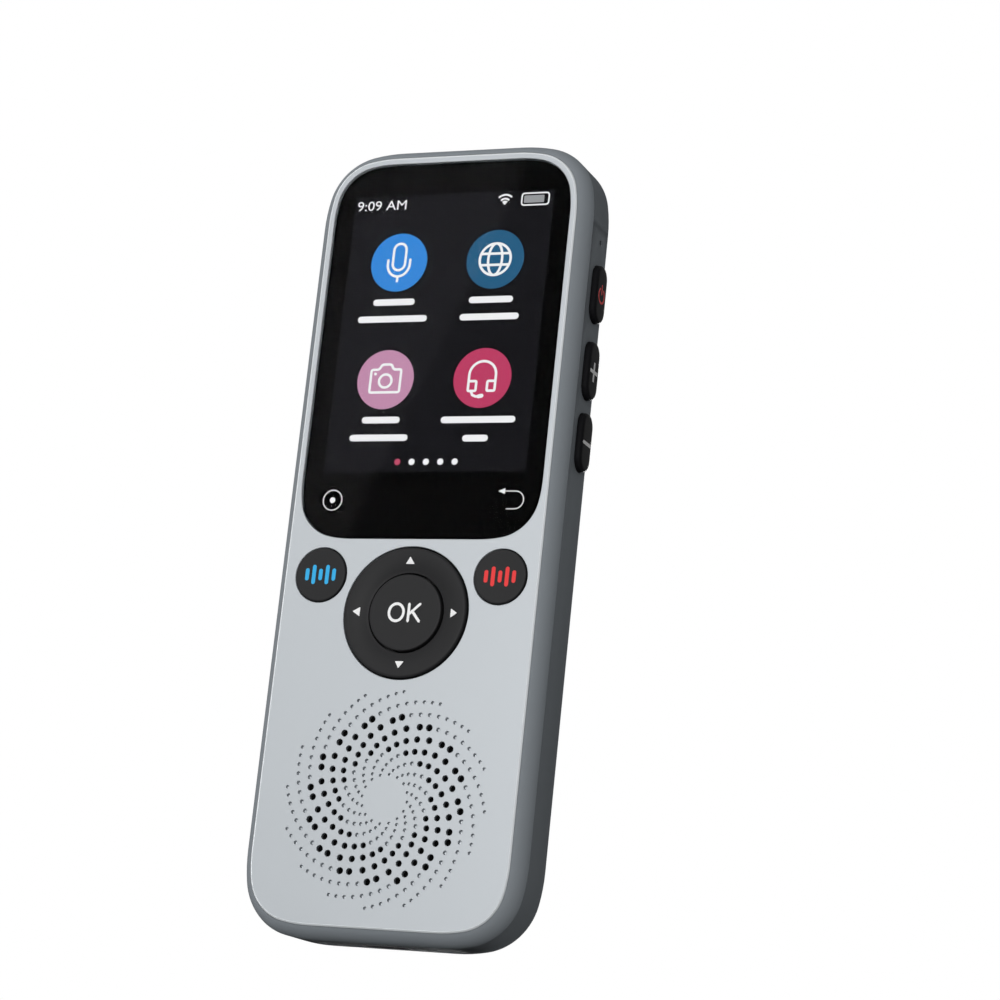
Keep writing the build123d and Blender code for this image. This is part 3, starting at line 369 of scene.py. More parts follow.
def coated(name, colour, roughness, metallic=0.0, mottle=0.06, grain=(7.0, 0.35, 0.004), gloss=0.5,
           **fixed):
    """Paint, plastic, rubber or metal: slow mottling, a fine grain and uneven gloss."""
    finish = Finish(name)
    slow = finish.noise(0.09, 3.0)
    per_mm, strength, height = grain
    fine = finish.noise(per_mm, 2.0, 0.6)
    blend = (slow * 0.7 + fine * 0.3).over(0.5, 0.6)
    return finish.surface(
        Base_Color=finish.mix(blend, shade(colour, 1 - mottle), shade(colour, 1 + mottle)),
        Roughness=slow * 0.10 + fine * 0.06 + (roughness - 0.08),
        Metallic=metallic,
        Specular_IOR_Level=gloss,
        Normal=finish.bump(fine, strength, height),
        **fixed,
    )


def lamp_colour(name, colour):
    """Lit part of the screen, with the faint grid of the panel."""
    finish = Finish(name)
    grid = finish.noise(4.0, 1.0)
    lit = finish.mix(grid.over(0.5, 0.8), shade(colour, 0.96), shade(colour, 1.0))
    black = (0.004, 0.004, 0.005, 1)
    return finish.surface(
        Base_Color=black, Roughness=0.9, Specular_IOR_Level=0.0, Emission_Color=lit,
        Emission_Strength=1.0,
    )


def ringed(name, colour, roughness, centre_z, per_mm):
    """Turned black ring: fine grooves round the middle of the camera, each lighter on its crest and
    darker in its hollow as painted highlight and shade.
    """
    finish = Finish(name)
    middle = (0, 0, -centre_z / 1000)
    place = finish.node("Mapping", {}, {"Vector": finish.place, "Location": middle})
    flat = finish.node("VectorMath", {"operation": "MULTIPLY"}, {0: place, 1: (1, 0, 1)})
    reach = finish.node("VectorMath", {"operation": "LENGTH"}, {0: flat}, "Value")
    groove = finish.node("Math", {"operation": "SINE"}, {0: reach * (per_mm * 2000 * math.pi)})
    # base colour follows the groove height: painted highlight on the crests, painted shade in the
    # hollows
    return finish.surface(
        Base_Color=finish.mix(groove * 0.5 + 0.5, shade(colour, 0.8), shade(colour, 1.2)),
        Roughness=groove * 0.03 + roughness,
        Normal=finish.bump(groove, 0.5, 0.004),
    )


def glass_finish():
    finish = Finish("clear_glass")
    smudge = finish.noise(0.05, 3.0).over(0.6, 0.4)
    return finish.surface(
        Base_Color=(1, 1, 1, 1),
        Roughness=smudge * 0.01 + 0.004,
        Transmission_Weight=1.0,
        IOR=1.055,
    )


def board_finish():
    """Green board with soldered lines and pads."""
    finish = Finish("circuit_board")
    across = finish.node("TexBrick", {}, {
        "Vector": finish.place, "Scale": 260.0, "Color1": (0.02, 0.10, 0.05, 1),
        "Color2": (0.015, 0.075, 0.04, 1), "Mortar": (0.05, 0.17, 0.08, 1), "Mortar Size": 0.03,
    })
    fine = finish.noise(3.0)
    return finish.surface(
        Base_Color=across, Roughness=fine * 0.15 + 0.35, Normal=finish.bump(fine, 0.2, 0.01)
    )


FACE = (0.390, 0.416, 0.438)
BODY = (0.268, 0.293, 0.316)
finishes = {
    "face": coated("silver_face", FACE, 0.42, 0.2, 0.025, (9.0, 0.25, 0.003)),
    "body": coated("grey_casing", BODY, 0.42, 0.04, 0.03, (9.0, 0.25, 0.003), 0.0),
    # the rim's light grey is partly a polished edge and partly a painted highlight
    "rim": coated("polished_rim_painted_highlight", (0.62, 0.65, 0.67), 0.35, 0.4, 0.02, (9.0, 0.2, 0.002)),
    "keys": coated("dark_key_plastic", (0.022, 0.022, 0.023), 0.48, 0, 0.10, (11.0, 0.5, 0.006), 0.08),
    "side": coated("black_side_key", (0.008, 0.008, 0.009), 0.40, 0, 0.10, (9.0, 0.3, 0.004), 0.01),
    "ink": coated("black_glass_ink", (0.0012, 0.0012, 0.0014), 0.9, 0, 0.2, (5.0, 0.1, 0.002), 0.0),
    "white": coated("white_print", (0.90, 0.90, 0.90), 0.5, 0, 0.02, (8.0, 0.2, 0.003), 0.2),
    "blue": coated("blue_print", (0.045, 0.45, 0.84), 0.5, 0, 0.03, (8.0, 0.2, 0.003), 0.1),
    "red": coated("red_print", (0.84, 0.055, 0.055), 0.5, 0, 0.03, (8.0, 0.2, 0.003), 0.1),
    "glass": glass_finish(),
    "bezel": ringed("camera_ring_black", (0.010, 0.010, 0.011), 0.17, CAMERA_Z, 6.0),
    "barrel": ringed("camera_barrel_black", (0.006, 0.006, 0.007), 0.22, CAMERA_Z, 9.0),
    "lens": coated("lens_coating", (0.018, 0.012, 0.075), 0.06, 0.4, 0.25, (1.2, 0.0, 0.001),
                   Coat_Weight=1.0, Coat_Roughness=0.02),
}
screen_colours = {
    "panel": (0.0030, 0.0030, 0.0034),
    "white": (0.86, 0.87, 0.88),
    "grey": (0.30, 0.31, 0.32),
    "sky": (0.030, 0.235, 0.680),
    "ocean": (0.018, 0.105, 0.215),
    "pink": (0.520, 0.255, 0.400),
    "crimson": (0.490, 0.045, 0.120),
    "dot": (0.48, 0.07, 0.13),
}
for key, colour in screen_colours.items():
    finishes["screen_" + key] = lamp_colour("screen_" + key, colour)

METAL = (9.0, 0.25, 0.003)
SOFT = (5.0, 0.6, 0.01)
hidden_finishes = {
    "silver_casing": finishes["body"],
    "screen_glass": finishes["glass"],
    "adhesive": coated("black_tape", (0.012, 0.012, 0.012), 0.7, 0, 0.1, SOFT),
    "display": coated("display_black", (0.006, 0.006, 0.007), 0.25, 0, 0.1, METAL),
    "display_tray": coated("tray_steel", (0.55, 0.56, 0.57), 0.3, 1.0, 0.04, METAL),
    "flex": coated("amber_flex", (0.42, 0.20, 0.05), 0.4, 0, 0.08, METAL),
    "dark_keys": finishes["keys"],
    "side_keys": finishes["side"],
    "key_rubber": coated("key_rubber", (0.05, 0.05, 0.052), 0.75, 0, 0.1, SOFT),
    "spring_steel": coated("spring_steel", (0.60, 0.60, 0.60), 0.25, 1.0, 0.04, METAL),
    "circuit_board": board_finish(),
    "black_parts": coated("chip_black", (0.02, 0.02, 0.021), 0.5, 0, 0.1, METAL),
    "antenna_ceramic": coated("ceramic", (0.62, 0.58, 0.50), 0.45, 0, 0.05, METAL),
    "battery_wrap": coated("battery_film", (0.35, 0.36, 0.38), 0.35, 0.4, 0.05, METAL),
    "lead_red": coated("red_wire", (0.50, 0.02, 0.02), 0.5, 0, 0.05, SOFT),
    "lead_black": coated("black_wire", (0.02, 0.02, 0.02), 0.5, 0, 0.05, SOFT),
    "speaker_parts": coated("speaker_cloth", (0.003, 0.003, 0.003), 0.9, 0, 0.2, SOFT, 0.0),
    "magnet": coated("magnet_plate", (0.45, 0.45, 0.46), 0.35, 1.0, 0.05, METAL),
    # the card cap is the casing grey darkened by a fifth: painted shade for its recess
    "card_cap": coated("card_cap_painted_shade", shade(BODY, 0.8), 0.50, 0.0, 0.04, METAL, 0.1),
    "camera_ring": finishes["bezel"],
    "lens_glass": finishes["lens"],
    "screws": coated("screw_steel", (0.40, 0.40, 0.41), 0.3, 1.0, 0.05, METAL),
}


# ---------------------------------------------------------------- casing
def grille():
    """Place, radius and kind of every dot of the spiral grille."""
    radii, radius = [4.03], 4.03
    for k in range(19):
        radius += 0.765 + 0.0258 * k if k < 10 else 0.66 - 0.0308 * (k - 10)
        radii.append(radius)
    dots = []
    for arm in range(16):
        for k, reach in enumerate(radii):
            turn = math.radians(arm * 22.5 + 53.71 - 8.732 * reach - 0.052 * reach**2)
            place = (reach * math.cos(turn), SPEAKER_Z + reach * math.sin(turn))
            if 5 <= k <= 11:
                dots.append((place, 0.47 + 0.10 * (k - 5) / 6, True))
            elif k < 5:
                dots.append((place, 0.24 + 0.024 * k, False))
            else:
                dots.append((place, 0.36 - 0.012 * (k - 12), False))
    return dots


def face_metal():
    """Front plate with its openings, the through holes and the shallow dimples."""
    edge = 0.08
    holes, marks = [], []
    openings = [
        [glass_loop.flat(0.05 + m) for m in (0, edge)],
        [circle(0, NAV_Z, NAV_HOLE + m, 96) for m in (0, edge)],
        [circle(VOICE_X, VOICE_Z, VOICE_HOLE + m, 64) for m in (0, edge)],
        [circle(-VOICE_X, VOICE_Z, VOICE_HOLE + m, 64) for m in (0, edge)],
    ]
    for inner, outer in openings:
        holes.append(inner)
        marks.append((outer, 0))
    for (x, z), radius, through in grille():
        if through:
            holes.append(circle(x, z, radius, 20))
            marks.append((circle(x, z, radius + 0.04, 20), 0))
        else:
            for share, depth in ((1.08, 0), (0.94, 0.12), (0.84, 0.6)):
                marks.append((circle(x, z, radius * share, 14), depth))
            marks.append(([(x, z)], 0.64))
    depths = {k: edge if k < 5 else 0.04 for k in range(1, len(holes) + 1)}
    depths.update({len(holes) + 1 + k: depth for k, (loop, depth) in enumerate(marks)})
    filled = fill(face_loop.flat(0), holes, [loop for loop, depth in marks])
    thin = 0.25                # thickness of the metal at the rim of a through hole
    return Shape().sheet(
        filled, lambda x, z, tag: (x, depths.get(tag, 0), z),
        lambda x, z, tag: (x, thin if len(openings) < tag <= len(holes) else PLATE_BACK, z),
    )


def bright_edge():
    """Chamfer round the front plate, a polished edge whose lighter colour is partly a painted highlight.
    """
    section = [(0, 0), (0.03, -0.004), (0.27, 0.16), (0.3, 0.2), (0.3, PLATE_BACK), (0, PLATE_BACK)]
    return Shape().tube([face_loop.at(a, d) for a, d in section])


def shoulder():
    """Curved ring between the face and the side band."""
    section = bend((0.36, 0.2), (2.3, 3.1), -0.3, 10)
    section += [(-1, 3.1), (-1, 0.86), (0.36, 0.86)]
    return Shape().tube([face_loop.at(a, d) for a, d in section])


BAND_OUTSIDE = (
    (0, 2.3, 3.16), (7.04, 2.3, 10.2), (7.65, 2.05, 10.72), (8.3, 1.66, 11.05),
    (8.75, 1.22, 11.25), (9.1, 0.98, 11.45),
)
BAND_INSIDE = (
    (0, 0.7, 3.16), (7.04, 0.7, 10.2), (7.65, 0.7, 10.32), (8.3, 0.75, 10.4),
    (8.75, 0.8, 10.42), (9.1, 0.92, 10.42),
)


def on_section(section, step):
    """Margin and depth at a length along a section of the band."""
    steps = [s for s, a, d in section]
    return tuple(float(np.interp(step, steps, [row[k] for row in section])) for k in (1, 2))


def side_band():
    """Flat band round the sides with its windows, then the lip that leads to the back."""
    length, end = float(face_loop.marks[-1]), BAND_OUTSIDE[-1][0]
    side = SIDE_DEPTH - BAND_FRONT
    right, left = face_loop.right, face_loop.left
    holes = [pill_loop(right(z - SIDE_KEY_DROP), side, 10.16, 4.8)
             for z in (POWER_Z, LOUDER_Z, QUIETER_Z)]
    holes.append(circle(right(RIGHT_MIC_Z), side, 0.5, 16))
    holes.append(pill_loop(left(CARD_Z), side, 12.66, 1.75))
    holes += [circle(left(z), side, 0.5, 16) for z in (LEFT_MIC_Z, RESET_Z)]
    holes.append(pill_loop(face_loop.bottom(0), 7.17 - BAND_FRONT, 9.04, 3.36))
    for turn in (11.5, 27.0):
        holes.append(circle(lanyard_length(turn), 7.0 - BAND_FRONT, 0.68, 20))
    lines = [[(s, 0), (s, end)] for s in face_loop.marks[1:-1]]
    lines += [[(0, row[0]), (length, row[0])] for row in BAND_OUTSIDE[1:-1]]
    outer = [(0, 0), (length, 0), (length, end), (0, end)]

    def skin(section):
        return lambda s, step, tag: face_loop.along(
            min(s, length - 1e-9), *on_section(section, step))

    def seam(a, b):
        return abs(a[0] - b[0]) < 1e-6 and (a[0] < 1e-6 or a[0] > length - 1e-6)

    filled = fill(outer, holes, (), lines)
    return Shape().sheet(filled, skin(BAND_OUTSIDE), skin(BAND_INSIDE), seam)


def lanyard_length(turn):
    """Length along the outline where a line at that turn from the corner's middle meets it."""
    start, end = face_loop.marks[face_loop.quarter], face_loop.marks[2 * face_loop.quarter - 1]
    target = math.pi - math.radians(turn)
    for k in range(400):
        length = start + (end - start) * k / 400
        x, depth, z = face_loop.along(length, BAND_MARGIN, 0)
        if math.atan2(z - STRAP_MIDDLE[1], x - STRAP_MIDDLE[0]) >= target:
            return length
    return end


def back_shell():
    """Pillow-shaped back with the hole for the camera ring."""
    curve = bend((PILLOW_MARGIN, THICKNESS), (0.9, 11.35), 0.82, 14)[::-1]
    shape = Shape()
    rows = [(0.9, 10.45), *curve]
    ids = [shape.row(face_loop.at(a, d)) for a, d in rows]
    inner = [(-0.3, 10.45), (-0.3, 11.4), (-2.2, 12.5), (-4.6, PILLOW_INSIDE)]
    inner.append((PILLOW_MARGIN, PILLOW_INSIDE))
    inside = [shape.row(face_loop.at(a, d)) for a, d in inner]
    for low, high in [*zip(ids, ids[1:]), *zip(inside, inside[1:]), (ids[0], inside[0])]:
        shape.join(low, high)
    hole, edge = (circle(0, CAMERA_Z, radius, 96) for radius in (CAMERA_HOLE, 6.16))
    flat, tags, triangles = fill(face_loop.flat(PILLOW_MARGIN), [hole], [edge])
    near = shape.row((x, 14.54 if tag == 1 else THICKNESS, z) for (x, z), tag in zip(flat, tags))
    far = shape.row((x, PILLOW_INSIDE, z) for x, z in flat)
    shape.faces += [tuple(near[k] for k in t) for t in triangles]
    shape.faces += [tuple(far[k] for k in t) for t in triangles]
    around = [k for k, tag in enumerate(tags) if tag == 1]
    around.sort(key=lambda k: math.atan2(flat[k][1] - CAMERA_Z, flat[k][0]))
    shape.join([near[k] for k in around], [far[k] for k in around])
    return shape


piece("face_metal", face_metal(), finishes["face"], "casing", ["front_plate"], 20)
piece("bright_edge", bright_edge(), finishes["rim"], "casing")
piece("casing_shoulder", shoulder(), finishes["body"], "casing", ["front_cover"])
piece("side_band", side_band(), finishes["body"], "casing", ["mid_frame"])
piece("back_shell", back_shell(), finishes["body"], "casing", ["rear_cover"])


# ---------------------------------------------------------------- camera
def camera_pieces():
    ring = [(6.05, 12.7), (6.05, 14.62), (5.98, 14.69), (5.8, 14.69), (5.72, 14.64)]
    ring += [(4.8, 14.36), (3.9, 14.12), (2.95, 13.9), (2.8, 13.84), (2.75, 13.7), (2.75, 12.7)]
    piece("camera_ring", lathe(0, CAMERA_Z, ring, 96), finishes["bezel"], "casing",
          ["camera_bezel"])
    barrel = [(2.6, 12.6), (2.6, 13.92), (2.5, 14.0), (2.3, 14.0), (2.2, 13.92), (2.1, 13.75)]
    barrel += [(1.95, 13.75), (1.9, 13.62), (1.62, 13.62), (1.62, 12.6)]
    piece("camera_barrel_ring", lathe(0, CAMERA_Z, barrel, 64), finishes["barrel"], "casing",
          ["camera_barrel"])
    dome = [(1.6, 13.3), (1.6, 13.62)]
    dome += [(1.6 * math.cos(t), 13.62 + 0.23 * math.sin(t)) for t in np.linspace(0.1, 1.5, 9)]
    dome += [(0.0, 13.85), (0.0, 13.3)]
    piece("camera_lens_dome", lathe(0, CAMERA_Z, dome, 48), finishes["lens"], "casing",
          ["camera_lens"])


camera_pieces()


# ---------------------------------------------------------------- front keys
RING_TOP, KEY_TOP = -0.5, -0.3
DIP_START, DIP_END = 6.9, 10.3       # radii between which the ring's top rises


def ring_depth(reach):
    """Depth of the ring's top, which dips towards the OK key."""
    share = min(max((reach - DIP_START) / (DIP_END - DIP_START), 0), 1)
    return RING_TOP + 0.7 * (1 - share) ** 2


def key_depth(reach, radius):
    """Depth of the top of a round key, a little hollow."""
    return KEY_TOP + 0.07 * max(0, 1 - (reach / (radius - 0.3)) ** 2)


def nav_ring_shape():
    profile = rounded((6.7, 1.9), (6.7, ring_depth(6.7)), (6.95, ring_depth(6.95)), 0.12)
    profile += [(r, ring_depth(r)) for r in np.linspace(7.0, DIP_END, 14)]
    profile += rounded((DIP_END, RING_TOP), (10.87, RING_TOP), (10.87, 1.0), 0.42, 6)
    profile += [(10.87, 2.4), (11.6, 2.45), (11.6, 2.9), (7.45, 2.9), (7.45, 1.9), (6.7, 1.9)]
    return lathe(0, NAV_Z, profile, 96)


def round_key(x, z, radius, count):
    profile = [(radius * share, key_depth(radius * share, radius))
               for share in np.linspace(0, 0.9, 8)]
    profile += rounded((radius - 0.4, KEY_TOP), (radius, KEY_TOP), (radius, 1.0), 0.22)
    profile += [(radius, 2.45), (radius + 0.7, 2.45), (radius + 0.7, 2.9), (2.2, 2.9)]
    profile += [(2.2, 3.4), (0, 3.4)]
    return lathe(x, z, profile, count)


piece("direction_ring", nav_ring_shape(), finishes["keys"], "nav_ring", ["nav_ring"])
piece("ok_key", round_key(0, NAV_Z, OK_RADIUS, 96), finishes["keys"], "ok_button",
      ["ok_button"])
for side, key_name in ((-1, "voice_key_left"), (1, "voice_key_right")):
    piece(key_name + "_cap", round_key(side * VOICE_X, VOICE_Z, VOICE_RADIUS, 64),
          finishes["keys"], key_name, [key_name])


# ---------------------------------------------------------------- side keys
def side_key_shape(z):
    """Long round-ended key. Its rows run outwards from the flange."""
    rows = [(11.4, SIDE_KEY_WIDTH, 22.3), (11.4, SIDE_KEY_WIDTH, 23.15)]
    rows += [(SIDE_KEY_LENGTH, SIDE_KEY_WIDTH, x) for x in (23.15, 25.4)]
    rows += [(SIDE_KEY_LENGTH - 2 * e, SIDE_KEY_WIDTH - 2 * e, x) for e, x in
             ((0.03, 25.58), (0.11, 25.75), (0.25, 25.87), (0.45, 25.93), (0.8, 25.94))]
    shape = Shape()
    loops = [[(x, d, v) for v, d in pill_loop(z - SIDE_KEY_DROP, SIDE_DEPTH, length, width)]
             for length, width, x in rows]
    return shape.tube(loops, around=False)


for key_name, z in (("power_button", POWER_Z), ("volume_up_button", LOUDER_Z),
                    ("volume_down_button", QUIETER_Z)):
    piece(key_name + "_cap", side_key_shape(z), finishes["side"], key_name, [key_name])


# ---------------------------------------------------------------- marks
def stroke(path, width, closed=False, ends=6):
    """Outline of a line of that width along a path, as (outer loop, holes)."""
    path = [np.array(p, float) for p in path]
    count = len(path)
    left, right = [], []
    for k, point in enumerate(path):
        before = path[k - 1] if closed or k else point
        after = path[(k + 1) % count] if closed or k < count - 1 else point
        ways = [w / np.linalg.norm(w) for w in (point - before, after - point)
                if np.linalg.norm(w) > 1e-9]
        way = sum(ways)
        way = way / np.linalg.norm(way)
        side = np.array([-way[1], way[0]])
        reach = width / 2 / max(0.4, float(np.dot(side, [-ways[0][1], ways[0][0]])))
        left.append(tuple(point + side * reach))
        right.append(tuple(point - side * reach))
    if closed:
        loops = sorted((left, right), key=lambda loop: -abs(area(loop)))
        return loops[0], [loops[1]]
    caps = []
    for point, other in ((path[-1], path[-2]), (path[0], path[1])):
        heading = math.atan2(*(point - other)[::-1])
        turns = [heading + math.pi / 2 - math.pi * k / ends for k in range(1, ends)]
        caps.append([tuple(point + width / 2 * np.array([math.cos(t), math.sin(t)])) for t in turns])
    return [*left, *caps[0], *right[::-1], *caps[1]], []


def arc(u, v, radius_u, radius_v, start, end, count=16):
    turns = [math.radians(start + (end - start) * k / count) for k in range(count + 1)]
    return [(u + radius_u * math.cos(t), v + radius_v * math.sin(t)) for t in turns]


def ellipse(u, v, radius_u, radius_v, count=40):
    return arc(u, v, radius_u, radius_v, 0, 360, count)[:-1]


def moved(mark, u, v):
    outer, holes = mark
    shifted = [[(u + a, v + b) for a, b in loop] for loop in (outer, *holes)]
    return shifted[0], shifted[1:]


def marks_on(name, marks, place, thick, finish, body):
    """One piece of thin flat marks. Place gives the point of the surface under (u, v)."""
    shape = Shape()
    for outer, holes in marks:
        shape.sheet(fill(outer, holes), lambda u, v, tag: place(u, v, PRINT),
                    lambda u, v, tag: place(u, v, -thick))
    return piece(name, shape, finish, body)


def front_mark(depth_at):
    """Placing on a front key: u is x, v is z, and the surface follows the key's top."""
    return lambda u, v, lift: (u, depth_at(u, v) - lift, v)


def triangle(u, v, turn, wide, tall):
    """Arrowhead with rounded corners that points along the turn."""
    corners = [(-tall / 2, -wide / 2), (-tall / 2, wide / 2), (tall / 2, 0)]
    soft = []
    for k in range(3):
        soft += rounded(corners[k - 1], corners[k], corners[(k + 1) % 3], 0.14, 3)
    c, s = math.cos(math.radians(turn)), math.sin(math.radians(turn))
    return [(u + a * c - b * s, v + a * s + b * c) for a, b in soft], []


def ring_top(u, v):
    """Depth of the arrows' ground, a hair above the curved ring."""
    return ring_depth(math.hypot(u, v - NAV_Z)) - 0.04


arrows = [triangle(8.75 * math.cos(math.radians(t)), NAV_Z + 8.75 * math.sin(math.radians(t)), t,
                   1.56, 1.22) for t in (0, 90, 180, 270)]
marks_on("ring_arrows", arrows, front_mark(ring_top), 0.05, finishes["white"], "nav_ring")

ok_letters = [
    moved(stroke(ellipse(0, 0, 1.3, 1.44), 0.46, closed=True), -1.56, NAV_Z),
    moved(stroke([(-0.85, -1.44), (-0.85, 1.44)], 0.46, ends=2), 1.5, NAV_Z),
    moved(stroke([(-0.78, -0.3), (1.1, 1.46)], 0.44, ends=2), 1.5, NAV_Z),
    moved(stroke([(-0.25, 0.25), (1.16, -1.46)], 0.46, ends=2), 1.5, NAV_Z),
]
marks_on("ok_letters", ok_letters,
         front_mark(lambda u, v: key_depth(math.hypot(u, v - NAV_Z), OK_RADIUS)),
         0.05, finishes["white"], "ok_button")

for side, key_name, finish in ((-1, "voice_key_left", "blue"), (1, "voice_key_right", "red")):
    bars = []
    for k, (tall, lift) in enumerate(((2.1, 0), (3.3, 0), (2.0, 0), (3.3, 0), (2.1, 0))):
        u = side * VOICE_X + (k - 2) * 1.22
        reach = tall / 2 - 0.34
        bars.append(stroke([(u, VOICE_Z - reach), (u, VOICE_Z + reach)], 0.68))
    top = front_mark(lambda u, v, x=side * VOICE_X:
                     key_depth(math.hypot(u - x, v - VOICE_Z), VOICE_RADIUS))
    marks_on("sound_bars_" + key_name.removeprefix("voice_key_"), bars, top, 0.05, finishes[finish],
             key_name)


def side_mark(z):
    """Placing on a side key: u runs towards the back, v upwards."""
    return lambda u, v, lift: (25.93 + lift, SIDE_DEPTH + u, z - 2 * SIDE_KEY_DROP + v)


def plus(size, width):
    """Outline of a plus sign."""
    w, corner = width / 2, []
    for u, v in ((1, 0), (0, 1), (-1, 0), (0, -1)):
        corner += [(u * size + v * w, v * size - u * w), (u * size - v * w, v * size + u * w),
                   (u * w - v * w, v * w + u * w)]
    return corner, []


power_mark = [stroke(arc(0, 0, 1.25, 1.25, 125, 415, 28), 0.36), stroke([(0, 0.3), (0, 1.75)], 0.36)]
marks_on("power_mark", power_mark, side_mark(POWER_Z), 0.05, finishes["red"], "power_button")
marks_on("louder_mark", [plus(1.65, 0.6)], side_mark(LOUDER_Z), 0.05, finishes["white"],
         "volume_up_button")
marks_on("quieter_mark", [stroke([(-1.5, 0), (1.5, 0)], 0.6)], side_mark(QUIETER_Z), 0.05,
         finishes["white"], "volume_down_button")


# ---------------------------------------------------------------- screen
def on_screen(layer):
    """Placing under the glass. A higher layer lies nearer to it."""
    return lambda u, v, lift: (u, SCREEN_DEPTH - layer * 0.012 - (0.004 if lift > 0 else -0.004), v)


def screen_marks(name, marks, colour, layer):
    return marks_on("screen_" + name, marks, on_screen(layer), 0.01, finishes["screen_" + colour],
                    "casing")


def cover_glass_shape():
    rows = [glass_loop.at(a, d) for a, d in ((0, GLASS_BACK), (0, 0.07), (-0.02, 0.03), (-0.07, 0.0))]
    return Shape().tube(rows, around=False)


def lit_frame(margin):
    low, high = LIT_BOTTOM - margin, LIT_TOP + margin
    half = LIT_HALF + margin
    return [(-half, low), (half, low), (half, high), (-half, high)]


piece("front_glass", cover_glass_shape(), finishes["glass"], "casing",
      ["cover_glass"], 20)
marks_on("glass_border", [(glass_loop.flat(-0.06), [lit_frame(0)])], on_screen(2), 0.01,
         finishes["ink"], "casing")
screen_marks("ground", [(lit_frame(0.3), [])], "panel", 0)

APP_U, APP_HIGH, APP_LOW, APP_RADIUS = 8.85, 114.6, 93.8, 5.2
apps = {"sky": (-APP_U, APP_HIGH), "ocean": (APP_U, APP_HIGH), "pink": (-APP_U, APP_LOW),
        "crimson": (APP_U, APP_LOW)}
for colour, (u, v) in apps.items():
    screen_marks("app_" + colour, [(circle(u, v, APP_RADIUS, 64), [])], colour, 1)

LINE = 0.44
microphone = [
    stroke([(b, a) for a, b in pill_loop(1.0, 0, 4.75, 2.3, 10)], LINE, closed=True),
    stroke([(-2.05, 0.45), *arc(0, -0.3, 2.05, 2.2, 180, 360, 18), (2.05, 0.45)], LINE),
    stroke([(0, -2.5), (0, -3.35)], LINE),
]
globe = [
    stroke(ellipse(0, 0, 2.8, 2.8), LINE, closed=True),
    stroke(ellipse(0, 0, 1.25, 2.8), LINE, closed=True),
    stroke([(-2.6, 1.0), (2.6, 1.0)], LINE),
    stroke([(-2.6, -1.0), (2.6, -1.0)], LINE),
]


def soft_path(corners, radius):
    path = []
    for k in range(len(corners)):
        path += rounded(corners[k - 1], corners[k], corners[(k + 1) % len(corners)], radius, 4)
    return path


camera_mark = [
    stroke(soft_path([(-2.75, -2.25), (2.75, -2.25), (2.75, 1.75), (1.35, 1.75), (0.85, 2.65),
                      (-0.85, 2.65), (-1.35, 1.75), (-2.75, 1.75)], 0.35), LINE, closed=True),
    stroke(ellipse(0, -0.25, 1.15, 1.15, 28), LINE, closed=True),
    (circle(-1.95, 1.0, 0.27, 12), []),
]
headset = [
    stroke([(-2.4, -0.75), *arc(0, 0.55, 2.4, 2.35, 180, 0, 20), (2.4, -0.75)], LINE),
    stroke(soft_path([(-2.4, -2.25), (-1.0, -2.25), (-1.0, -0.55), (-2.4, -0.55)], 0.25), LINE, True),
    stroke(soft_path([(1.0, -2.25), (2.4, -2.25), (2.4, -0.55), (1.0, -0.55)], 0.25), LINE, True),
    stroke([(-1.8, -2.3), (-1.5, -2.95), (-0.9, -3.2), (-0.2, -3.2)], LINE),
    stroke([(-0.35, -3.2), (0.2, -3.1)], 0.7),
]
pictures = []
for picture, place in zip((microphone, globe, camera_mark, headset), apps.values()):
    pictures += [moved(mark, *place) for mark in picture]
screen_marks("pictures", pictures, "white", 2)


def bar(u, v, length, width=1.15):
    return stroke([(u - (length - width) / 2, v), (u + (length - width) / 2, v)], width, ends=8)


names = [bar(*row) for row in (
    (-8.95, 107.5, 7.7), (-8.9, 104.5, 12.8), (8.85, 107.5, 8.0), (8.85, 104.5, 10.7),
    (-8.85, 86.7, 7.0), (-8.9, 83.6, 10.7), (8.85, 86.6, 13.4), (8.7, 83.4, 4.6),
)]
screen_marks("name_bars", names, "white", 1)

DOT_V, DOT_STEP = 79.4, 2.6
dots = [(circle(-4.9 + DOT_STEP * k, DOT_V, 0.55, 20), []) for k in range(5)]
screen_marks("page_dots", dots[1:], "white", 1)
screen_marks("page_dot_now", dots[:1], "dot", 1)

status = [moved(stroke(arc(0, -0.75, r, r, 50, 130, 12), 0.32), 9.5, 125.1) for r in (1.0, 1.7)]
status.append((arc(9.5, 124.25, 0.75, 0.75, 48, 132, 8) + [(9.5, 124.2)], []))
battery_case = soft_path([(-2.45, -1.05), (2.45, -1.05), (2.45, 1.05), (-2.45, 1.05)], 0.55)
status.append(moved(stroke(battery_case, 0.26, closed=True), 15.0, 125.1))
screen_marks("status", status, "white", 1)
battery_level = soft_path([(12.95, 124.45), (16.6, 124.45), (16.6, 125.75), (12.95, 125.75)], 0.2)
screen_marks("battery_level", [(battery_level, [])], "grey", 1)


def clock():
    """Time shown at the top of the screen, from the built-in letter shapes."""
    letters = bpy.data.curves.new("screen_clock", "FONT")
    letters.body, letters.size, letters.extrude = "9:09 AM", 2.45 / 1000, 0.004 / 1000
    letters.resolution_u, letters.align_x = 3, "CENTER"
    source = bpy.data.objects.new("clock_source", letters)
    mesh = bpy.data.meshes.new_from_object(source)
    bpy.data.objects.remove(source)
    wide = max(v.co.x for v in mesh.vertices) - min(v.co.x for v in mesh.vertices)
    mesh.transform(Matrix.Diagonal((9.2 / 1000 / wide, 1, 1, 1)))
    mesh.transform(Matrix.Rotation(math.pi / 2, 4, "X"))
    depth = SCREEN_DEPTH - 0.016 - THICKNESS / 2
    mesh.transform(Matrix.Translation((-13.25 / 1000, depth / 1000, 124.2 / 1000)))
    mesh.materials.clear()
    mesh.materials.append(finishes["screen_white"])
    made = bpy.data.objects.new("screen_clock", mesh)
    bpy.context.scene.collection.objects.link(made)
    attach(made, "casing")


clock()

